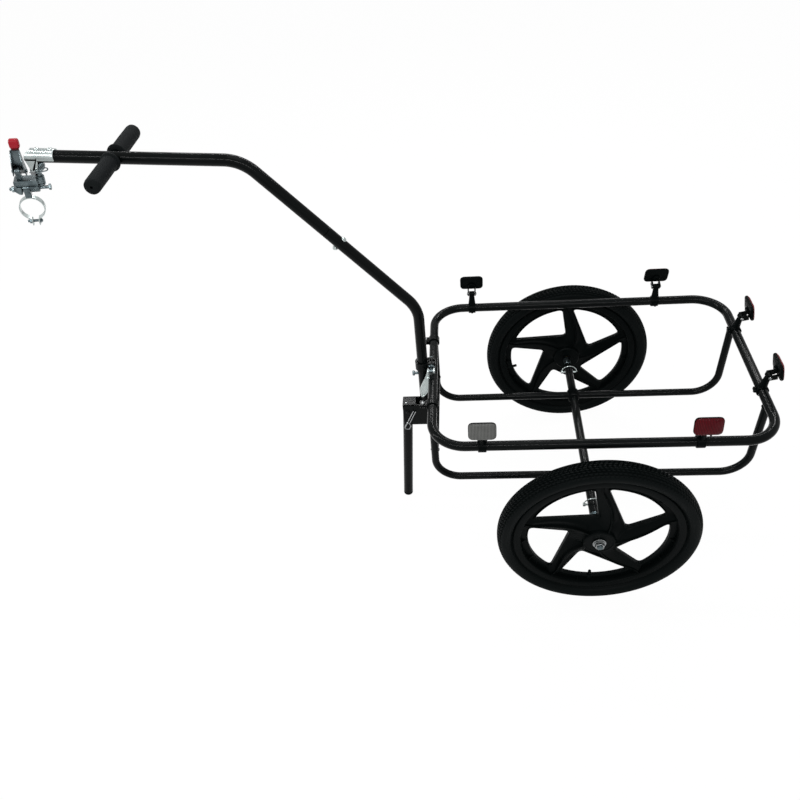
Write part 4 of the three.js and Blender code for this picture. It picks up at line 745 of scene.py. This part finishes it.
def seat_post_strap():
    """Strap: a band bent round the post, its two ends turned out as ears, and a tab up to the long bolt."""
    u = np.radians(np.linspace(-72, 252, 64))
    around = np.column_stack([np.cos(u), np.zeros(len(u)), np.sin(u)])
    ends = np.array([[5.6, 0, -33.0], [5.4, 0, -27.0], [5.6, 0, -22.6]])
    middle = np.vstack([ends, STRAP_RADIUS * around, ends[::-1] * [-1, 1, 1]])
    across = np.cross(unit(np.gradient(middle, axis=0)), Y)
    section = np.array([[-1, -5.504], [-0.8, -5.76], [0.6, -5.76], [0.8, -5.504]])
    section = np.vstack([section, section[::-1] * [1, -1]])
    rings = middle[:, None] + section[None, :, :1] * across[:, None] + section[None, :, 1:] * Y
    piece("seat_post_strap_band", "seat_post_strap", ZINC, [loft(STRAP(rings))], ["seat_post_clamp"])
    height = ROLL_DROP - STRAP_DROP
    tab = outline([[-5, 20.6], [5, 20.6], [6, height], [-6, height]], 1.5)
    eye = bar(STRAP([-6, 0, height]), STRAP([6, 0, height]), 7, 0.6)
    lug = [plate(tab, -5.5, 5.5, STRAP, "y", 0.6), eye]
    piece("seat_post_strap_lug", "seat_post_strap", SHADED_ZINC, lug, slot="zinc_plate")
    on = lambda x: STRAP([x, 0, STRAP_BOLT_DROP])
    screw = bolt(on, (-14.3, 11.3), 2.5, 7.3, 3.8, (-11.3, -7.3), 4.5, edge=0.3, sides=20)
    piece("strap_bolt_turned", "seat_post_strap", SHADED_ZINC, screw, ["clamp_bolt"])


def release_lever():
    """Folded channel with a back and two flanks, a tab on top, and a dipped cap on the tab. The flanks lean
    in with height, each x moved by share (z - low)."""
    low, high = -9.0, 32.0
    face = outline([[-41.0, low], [-19.0, low], [-22.6, high], [-37.4, high]], [1.5, 1.5, 3, 3])
    back = [
        plate(face, 8, 10, HEAD, "y", 0.5),
        block([-35.5, 8, high - 2], [-24.5, 10, high + 15], HEAD),
        bar(HEAD([-43, 0, LEVER_DROP]), HEAD([-17, 0, LEVER_DROP]), 2.5, 0.4, 24),
    ]
    piece("release_channel_back", "release", SHADED_ZINC, back, ["release_lever"], slot="zinc_plate")
    flanks = []
    flat = outline([[-8, low], [10, low], [10, high], [4, high], [-8, 12]], [2, 2, 1, 3, 6])
    for start, share in ((-41.5, 0.09), (-20.2, -0.09)):
        points, faces = plate(flat, start, start + 1.7, HERE, "x", 0.4)
        flanks.append((HEAD(points + np.outer(share * (points[:, 2] - low), X)), faces))
    piece("release_channel_flanks", "release", SHADED_ZINC, flanks, slot="zinc_plate")
    section = outline(rectangle(-8.5, -6, 8.5, 6), 4.0, 6)
    heights = [32.3, 32.8, 35.0, 36.1, 37.3, 38.7, 46.5, 49.3, 50.9, 51.6]
    drawn = [3.4, 2.9, 2.7, 1.6, 0.5, 0.0, 0.0, 0.6, 1.8, 3.4]
    rings = stacked([(inset(section, depth) + [-27.6, 9], height) for height, depth in zip(heights, drawn)])
    piece("dipped_cap", "release", VINYL, [loft(HEAD(rings))], ["lever_cap"], smooth=60)


# Stand
LEG = Spot([STAND_X, 0, STAND_Z], about(Y, STAND_LEAN))
LEG_RADIUS, LEG_BORE, LEG_LENGTH = 11.0, 9.5, 282.4
BRACKET_FRONT, BRACKET_BACK, BRACKET_LOW, BRACKET_TOP = -394.0, -330.3, 250.0, 309.5
BRACKET_HALF, SHEET = 14.7, 2.5


def stand():
    cheek = outline(rectangle(BRACKET_FRONT, BRACKET_LOW, BRACKET_BACK, BRACKET_TOP), [5, 2, 1.5, 1.5])
    parts = [plate(cheek, y, y + SHEET, HERE, "y", 0.4) for y in (-BRACKET_HALF, BRACKET_HALF - SHEET)]
    roof = rectangle(BRACKET_FRONT, -BRACKET_HALF, BRACKET_FRONT + 29, BRACKET_HALF)
    parts.append(plate(outline(roof, 1.5), BRACKET_TOP - SHEET, BRACKET_TOP))
    piece("stand_channel", "frame", BLACK, parts, ["stand_bracket"])
    rivet = dome([BRACKET_FRONT + 8, -7.0, BRACKET_TOP], Z, 2.8, 1.4)
    piece("stand_channel_rivet", "frame", STEEL, [rivet])
    on = lambda z: LEG([0, 0, z])
    leg = pipe(on(-LEG_LENGTH), on(12), LEG_RADIUS, LEG_BORE, 0.6)
    piece("stand_leg_tube", "stand", BLACK, [leg], ["stand_leg"])
    profile = [[0.0, 9.6], [0.9, 10.5], [2.4, LEG_RADIUS], [7.2, LEG_RADIUS], [7.6, 10.7], [7.6, 9.2],
               [28.5, 9.2], [29.3, 8.4]]
    foot = revolve(profile, on(0.8 - STAND_Z / np.cos(np.radians(STAND_LEAN))), on(1) - on(0), 48)
    piece("stand_rubber_foot", "stand", RUBBER, [foot], ["stand_foot"], smooth=50)
    screw = bolt(lambda y: LEG([0, y, 0]), (-17.6, 19), 3, -15, 2.6, (15, 19), 5.5)
    piece("stand_pivot_bolt", "frame", BLACK, screw, ["stand_pivot"], slot="plain_steel")


def stand_pin():
    spot = LEG.moved([0, 0, -30])
    on = lambda y: spot([0, y, 0])
    route = [[-38, 0], [20, 0], [20, 11], [7, 11], [3, 5.3], [-38, 5.3]]
    clip = flat_wire(Spot(on(-17.5), about(Y, 114)), route, 1.2, 4.4)
    parts = [bar(on(-20), on(18), 2.6, 0.4, 24), bar(on(15), on(18), 5, 0.5, 28), clip]
    piece("stand_pin_and_clip", "stand", STEEL, parts, ["stand_lock_pin"])


# Wheels
RIDGE, WINDOW, FIELD = 19.8, 25.0, 72
HUB_EDGE, RIM_EDGE = 30.0, 152.0
WINDOW_FOOT, WINDOW_TOP, WINDOW_SPAN = 57.0, 138.0, 61.6


def polar(radius, degrees):
    """Points (r cos a, r sin a)."""
    turn = np.radians(degrees)
    return np.column_stack(np.broadcast_arrays(radius * np.cos(turn), radius * np.sin(turn)))


def ridge_turn(radius):
    """Degrees at which a spoke's ridge lies: it trails back from the rim by 17 ((138 - r) / 68)^1.3."""
    return RIDGE - 17.0 * np.clip((WINDOW_TOP - radius) / 68, 0, 2) ** 1.3


def sector(k):
    """The field between two ridges, as two outlines of as many points: its own edge, and the window in it.
    Both start at the hub end of the first ridge, run up it, round the rim and down the next ridge."""
    up, over, back, foot = 26, 40, 42, 14
    first = FIELD * k
    start = WINDOW + first
    corner = polar(WINDOW_FOOT, [start - 3.7])[0]
    top = polar(WINDOW_TOP, np.linspace(start, start + WINDOW_SPAN, 13))
    window = outline(np.vstack([corner, top]), [11.0, 9.0, *[1.5] * 11, 9.0], 6)
    closed, lengths = walk(window)
    near = lambda target: lengths[np.argmin(np.linalg.norm(window - target, axis=1))]
    marks = [near(corner), near(top[0]), near(top[-1]), lengths[-1] + near(corner)]
    counts = (up, over, back + foot)
    steps = [np.linspace(low, high, n, endpoint=False) for low, high, n in zip(marks, marks[1:], counts)]
    window = met(closed, lengths, np.concatenate(steps) % lengths[-1])
    depth = RIM_EDGE - HUB_EDGE
    rising = HUB_EDGE + depth * np.linspace(0, 1, up, endpoint=False)
    falling = RIM_EDGE - depth * np.linspace(0, 1, back, endpoint=False)
    edge = np.vstack([
        polar(rising, ridge_turn(rising) + first),
        polar(RIM_EDGE, RIDGE + first + np.linspace(0, FIELD, over, endpoint=False)),
        polar(falling, ridge_turn(falling) + first + FIELD),
        polar(HUB_EDGE, ridge_turn(HUB_EDGE) + first + np.linspace(FIELD, 0, foot, endpoint=False)),
    ])
    return edge, window


def spokes(spot, outboard):
    """Web of a wheel. Its height over the middle plane falls from the ridge towards the window as
    2.6 + (ridge - 3.6)(1 - t)^power, t going from 0 on the ridge to 1 at the window, and power from 0.7 on
    a spoke's full side to 2.8 on its hollow side. A thin rib tops the ridge, and a lip runs round the
    window."""
    surfaces = []
    for k in range(5):
        edge, window = sector(k)
        toward = lambda t: edge + t * (window - edge)
        radius = np.linalg.norm(edge, axis=1)
        turn = np.degrees(np.arctan2(edge[:, 1], edge[:, 0])) - ridge_turn(radius) - FIELD * k
        off = np.radians(np.abs((turn + FIELD / 2) % FIELD - FIELD / 2)) * radius
        ridge = 20.0 - 9.0 * np.clip((radius - 33) / 105, 0, 1) ** 0.8
        ridge = np.where(radius > RIM_EDGE - 1, 3.8 + (ridge - 3.8) * np.exp(-(off / 7) ** 2), ridge)
        power = np.interp(np.arange(len(edge)), [0, 26, 66, 108, 121], [0.7, 0.7, 2.8, 2.8, 0.7])
        rows = [(edge, ridge + 2.2), (toward(0.05), ridge + 2.0)]
        for t in (0.09, 0.16, 0.3, 0.5, 0.7, 0.84):
            rows.append((toward(t), 2.6 + (ridge - 3.6) * (1 - t) ** power))
        rows += [(toward(0.88), 5.4), (window, 5.0)]
        half = [(flat, outboard * height) for flat, height in rows]
        back = [(flat, -0.7 * height) for flat, height in half[::-1]]
        surfaces.append(loft(spot(stacked([*half, (inset(window, 0.5), 0.0), *back], "y")), loop=True))
    return surfaces


def rim(spot, outboard):
    """Rim: a turned section with a broad flat flange over a sunk web, and two thin ribs across its channel at
    each window."""
    half = np.array([
        [150.8, 3.0], [151.2, 4.6], [152.4, 12.4], [153.6, 14.2], [155.6, 14.8], [164.8, 15.2], [166.8, 14.9],
        [167.7, 14.0], [167.9, 12.8], [167.9, 11.9], [154.6, 11.4],
    ])
    profile = np.vstack([half, half[::-1] * [1, -1]])
    parts = [revolve(profile[:, ::-1], spot.origin, Y * outboard, 160, loop=True)]
    wedge = outline([[141.5, -2.2], [153.0, -11.0], [153.0, 11.0], [141.5, 2.2]], 0.4, 3)
    for turn in [WINDOW + step + FIELD * k for k in range(5) for step in (17.5, 40)]:
        parts.append(plate(wedge, -0.65, 0.65, spot.moved([0, 0, 0], about(Y, -turn)), edge=0.2))
    return parts


def hub(spot, outboard):
    """Hub, turned: its radius against the distance outboard."""
    profile = [
        [-22, 20], [-21, 29], [-19, 31], [-6, 33], [0, 36.5], [6, 35.5], [16, 33.0], [22, 31.6], [23.6, 30.8],
        [23.9, 30.0], [23.9, 29.0], [24.4, 28.6], [24.4, 27.9], [23.7, 27.5], [23.7, 13.5], [22.8, 13.0],
        [22.8, 8.3], [-22, 8.3],
    ]
    return revolve(profile, spot.origin, Y * outboard, 96, loop=True)


def tyre(spot):
    """Tyre: section radius against side, turned. Over the tread the radius drops where a groove runs: round
    the tyre between the lanes, and across it at pitch + slant |side|, staggered from one lane to the next."""
    count, pitches, lane_wide, depth, slant = 1120, 140, 5.2, 2.8, 0.16
    section = np.array([
        [11.3, 165.5], [11.6, 168.8], [12.6, 170.2], [15.4, 171.0], [18.2, 172.4], [20.4, 174.6],
        [21.9, 177.3], [22.9, 180.2], [23.3, 183.2], [23.2, 186.0], [22.6, 188.6], [21.9, 190.4],
    ])
    crown = np.linspace(21.2, 0, 30)
    radius = TYRE_RADIUS - 7.6 * (crown / 21.2) ** 2.6
    half = np.vstack([section, np.column_stack([crown, radius])])
    side, radius = np.vstack([half, half[-2::-1] * [-1, 1]]).T
    turn = np.arange(count)[:, None] * FULL / count
    from_middle = np.abs(side) + lane_wide / 2
    lane = np.floor(from_middle / lane_wide)
    local = from_middle - lane_wide * lane
    tread = (np.abs(side) < 21.0) & (radius > 190)
    round_groove = (local < 0.9) | (local > 4.5)
    phase = turn / FULL * pitches + slant * np.abs(side) + 0.5 * (lane % 2)
    radius = radius - depth * (tread & (round_groove | (phase % 1 < 0.3)))
    side = np.broadcast_to(np.append(side, [-11.8, 11.8]), (count, len(side) + 2))
    radius = np.column_stack([radius, np.full((count, 2), 155.0)])
    return loft(spot(np.stack([np.cos(turn) * radius, side, np.sin(turn) * radius], -1)), loop=True)


def axle(spot, outboard, name):
    """Stub axle, and its nut with a washer."""
    on = lambda y: spot([0, outboard * y, 0])
    turned = lambda profile, loop=False: revolve(profile, spot.origin, Y * outboard, 48, loop)
    nut = [
        turned([[24.8, 6.2], [24.8, 13.2], [26.2, 13.2], [26.4, 12.6], [26.4, 6.2]], True),
        turned([[26.4, 10.0], [27.4, 10.9], [28.2, 10.9], [28.4, 10.2]]),
        hexagon(on(28.2), on(34.4), 9.8, 0.3),
    ]
    piece(f"axle_nut_{name}_plated", "frame", STEEL, nut, [f"axle_nut_{name}"], slot="zinc_plate")
    stub = [bar(on(-93.5), on(36.9), 6, 0.8, 40), bar(on(-48.2), on(-22.8), 9, 0.6, 40)]
    piece(f"stub_axle_{name}_turned", "frame", SHADED_ZINC, stub, [f"stub_axle_{name}"])


def lock_pin(spot, name):
    """Wheel lock pin along X, with a half round wire bail of radius 18 over the tube."""
    a = np.linspace(np.pi, 0, 25)
    arc = np.column_stack([18 * np.cos(a), 0 * a, 18 * np.sin(a)])
    heading = np.column_stack([np.sin(a), 0 * a, -np.cos(a)])
    parts = [
        bar(spot([-17, 0, 0]), spot([17, 0, 0]), 2.2, 0.4, 20),
        bar(spot([-19.5, 0, 0]), spot([-14.5, 0, 0]), 4, 0.5, 24),
        swept((spot(arc), heading), Y, 1.2, 14, edge=0.3),
    ]
    piece(f"wheel_pin_{name}_bail", f"lock_pin_{name}", ZINC, parts, [f"wheel_lock_pin_{name}"])


def wheels():
    stem = [[128.5, 2.6], [129.5, 3.3], [136, 3.4], [137, 3.0], [138, 3.0], [146, 4.2], [151, 4.8]]
    for (outboard, name), valve_turn in zip(SIDES, (268.0, 196.0)):
        body = f"wheel_set_{name}"
        spot = Spot([0, outboard * WHEEL_SIDE, AXLE_Z])
        piece(f"tyre_{name}_tread", body, RUBBER, [tyre(spot)], [f"tyre_{name}"], smooth=40, slot="tyre")
        parts = [*spokes(spot, outboard), *rim(spot, outboard), hub(spot, outboard)]
        piece(f"wheel_{name}_moulding", body, NYLON, parts, [f"wheel_{name}"], smooth=28)
        x, z = polar(1.0, [valve_turn])[0]
        piece(f"valve_{name}", body, RUBBER, [revolve(stem, spot.origin, at(x, 0, z), 24)])
        axle(spot, outboard, name)
        lock_pin(Spot([0, outboard * LOCK_PIN_SIDE, AXLE_Z]), name)


# Reflectors
HINGE = [5, 0, 36]
LENS_WIDE, LENS_HIGH, LENS_BULGE = 52.0, 36.5, 4.9


def reflector(name, origin, turn, finish):
    """Clamp with a tapered post, and a housing leant in by 12 degrees. Its lens bulges like a barrel, as
    1 - 0.75 u^2 - 0.25 v^4 over its rounded field."""
    spot = Spot(origin, about(Z, turn))
    hinge = spot.moved(HINGE, about(Y, -12))
    foot = spot([0, 0, CLAMP_BORE])
    clamp = [
        pipe(spot([0, -8, 0]), spot([0, 8, 0]), CLAMP_RADIUS - 0.1, CLAMP_BORE, 0.8),
        revolve([[0, 8.4], [3, 8.0], [14, 6.6], [27, 5.6]], foot, hinge.origin - foot, 32),
        bar(hinge([0, -6, 0]), hinge([0, 6, 0]), 6, 0.6),
        block([-15.5, -6, -3.4], [-10.5, 6, 3.4], spot, 0.6),
        bar(spot([-13, 0, -6.0]), spot([-13, 0, 6.0]), 2.4, 0.4, 20),
    ]
    piece(f"reflector_clamp_{name}", "frame", NYLON, clamp, [f"reflector_mount_{name}"])
    centre = hinge.moved([0, 0, 18.5])
    y, z = LENS_WIDE / 2, LENS_HIGH / 2
    shell = outline(rectangle(-y, z, y, -z), 10.0, 7)
    drawn = ((3.0, 13.5), (1.0, 14.1), (0, 15.8), (0, 18.2), (0.5, 18.8))
    layers = [(inset(shell, depth), x) for depth, x in drawn]
    housing = [loft(centre(stacked(layers, "x")))]
    housing += [block([-2.0, low, -6], [14, low + 3, 6], hinge, 0.5) for low in (-9.3, 6.3)]
    housing.append(bar(hinge([9.5, 0, 13]), hinge([14, 0, 13]), 8, 0.8, 36))
    body = f"lens_{name}"
    piece(f"reflector_housing_{name}", body, NYLON, housing, [f"reflector_{name}"])
    screw = [bar(hinge([0, -9.9, 0]), hinge([0, 9.9, 0]), 1.8, 0.3, 20)]
    screw += [dome(hinge([0, y, 0]), hinge([0, y, 0]) - hinge.origin, 3.4, 1.8) for y in (-9.3, 9.3)]
    piece(f"reflector_screw_{name}", body, STEEL, screw)
    glass = inset(shell, 0.7)
    layers = [(glass, 17.5)]
    for t in (0.0, 0.03, 0.08, 0.16, 0.3, 0.5, 0.7, 0.88):
        flat = glass * (1 - t)
        u, v = flat.T * 2 / [[LENS_WIDE], [LENS_HIGH]]
        layers.append((flat, 18.9 + LENS_BULGE * (1 - 0.75 * u ** 2 - 0.25 * v ** 4) * min(1.0, 0.4 + 5 * t)))
    piece(f"reflector_lens_{name}", body, finish, [loft(centre(stacked(layers, "x")))], smooth=50)


def reflectors():
    side = FRAME_SIDE
    places = (
        ("left_front", [-225, -side, RAIL_Z], -90, CLEAR_LENS),
        ("left_rear", [177, -side, RAIL_Z], -90, RED_LENS),
        ("right_front", [-235, side, RAIL_Z], 90, CLEAR_LENS),
        ("right_rear", [180, side, RAIL_Z], 90, RED_LENS),
        ("tail_left", [FRAME_REAR, -86, RAIL_Z], 0, RED_TAIL_LENS),
        ("tail_right", [FRAME_REAR, 105, RAIL_Z], 0, RED_TAIL_LENS),
    )
    for place in places:
        reflector(*place)


def kept_nodes():
    """Nodes that keep their own mesh, hidden inside the wheels."""
    for _, side in SIDES:
        for node, finish in ((f"inner_tube_{side}", RUBBER), (f"hub_bush_{side}", BRASS)):
            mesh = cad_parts[node].data
            mesh.materials.clear()
            mesh.materials.append(finish)


# Studio, metres
def lamp(name, place, target, size, power):
    light = bpy.data.lights.new(name, "AREA")
    light.shape, light.size, light.size_y = "RECTANGLE", *size
    light.energy = power
    aim = unit(np.subtract(target, place))
    across = unit(np.cross(aim, Z if abs(aim[2]) < 0.95 else X))
    placed(name, light, np.column_stack([across, np.cross(across, aim), -aim]), place)


def studio():
    """White world for what the lens, reflections and glass see, and a dimmer one for light."""
    scene = bpy.context.scene
    scene.view_settings.view_transform = "Standard"
    scene.world = bpy.data.worlds.new("white_studio")
    sky = Nodes(scene.world)
    ray = lambda kind: sky.node("LightPath", out=f"Is {kind} Ray")
    white = lambda strength: sky.node("Background", {"Color": (1, 1, 1, 1), "Strength": strength})
    seen = ray("Camera").math("MAXIMUM", ray("Glossy").math("MAXIMUM", ray("Transmission")))
    sky.close(sky.node("MixShader", {0: seen, 1: white(0.55), 2: white(1.0)}), "World")
    lamp("overhead_softbox", (0.1, 0.3, 2.7), (0.1, 0, 0.3), (2.0, 0.9), 10)
    lamp("left_strip", (-0.2, -1.9, 2.3), (0.1, 0, 0.4), (3.2, 0.05), 40)
    lamp("right_strip", (0.3, 1.9, 2.2), (0.1, 0, 0.4), (3.2, 0.05), 34)
    lamp("front_strip", (-2.1, 0.1, 2.0), (0, 0, 0.5), (0.05, 2.4), 26)


def floor():
    """Pale floor just under the tyres. The lens sees it almost as white as the world."""
    mesh = bpy.data.meshes.new("studio_floor")
    reach, down = 9.0, -0.0005
    corners = [(-reach, -reach, down), (reach, -reach, down), (reach, reach, down), (-reach, reach, down)]
    mesh.from_pydata(corners, [], [(0, 1, 2, 3)])
    f = Finish("pale_floor")
    matt = f.node("BsdfDiffuse", {"Color": (0.93, 0.93, 0.93, 1)})
    glow = f.node("Emission", {"Color": (1, 1, 1, 1), "Strength": 1.0})
    share = f.node("LightPath", out="Is Camera Ray") * 0.97
    f.close(f.node("MixShader", {0: share, 1: matt, 2: glow}))
    mesh.materials.append(f.material)
    made = placed("studio_floor", mesh)


def camera():
    """The photograph's view: the lens with its place, yaw, pitch and roll, solved from the wheels and the
    rails, and its focal length in pixels of the photograph's width."""
    yaw, pitch, roll = -0.1252, 0.7392, -0.1114
    lens_place = at(-246.39, -1219.14, 1432.8)
    focal_pixels, photo_pixels, sensor = 751.0, 800.0, 36.0
    ahead = at(np.sin(yaw) * np.cos(pitch), np.cos(yaw) * np.cos(pitch), -np.sin(pitch))
    level = unit(np.cross(ahead, Z))
    upright = np.cross(level, ahead)
    right = level * np.cos(roll) + upright * np.sin(roll)
    up = upright * np.cos(roll) - level * np.sin(roll)
    view = bpy.data.cameras.new("photograph")
    view.sensor_width, view.lens = sensor, sensor * focal_pixels / photo_pixels
    place = (lens_place + [AXLE_X, 0, 0]) * METRE
    bpy.context.scene.camera = placed("photograph", view, np.column_stack([right, up, -ahead]), place)


frame_tubes()
crossbar_clamps()
drawbar_tubes()
drawbar_collar()
quick_release_lever()
handle()
hitch()
swivel_link()
coupling_head()
lever_spring()
seat_post_strap()
release_lever()
stand()
stand_pin()
wheels()
reflectors()
kept_nodes()
studio()
floor()
camera()
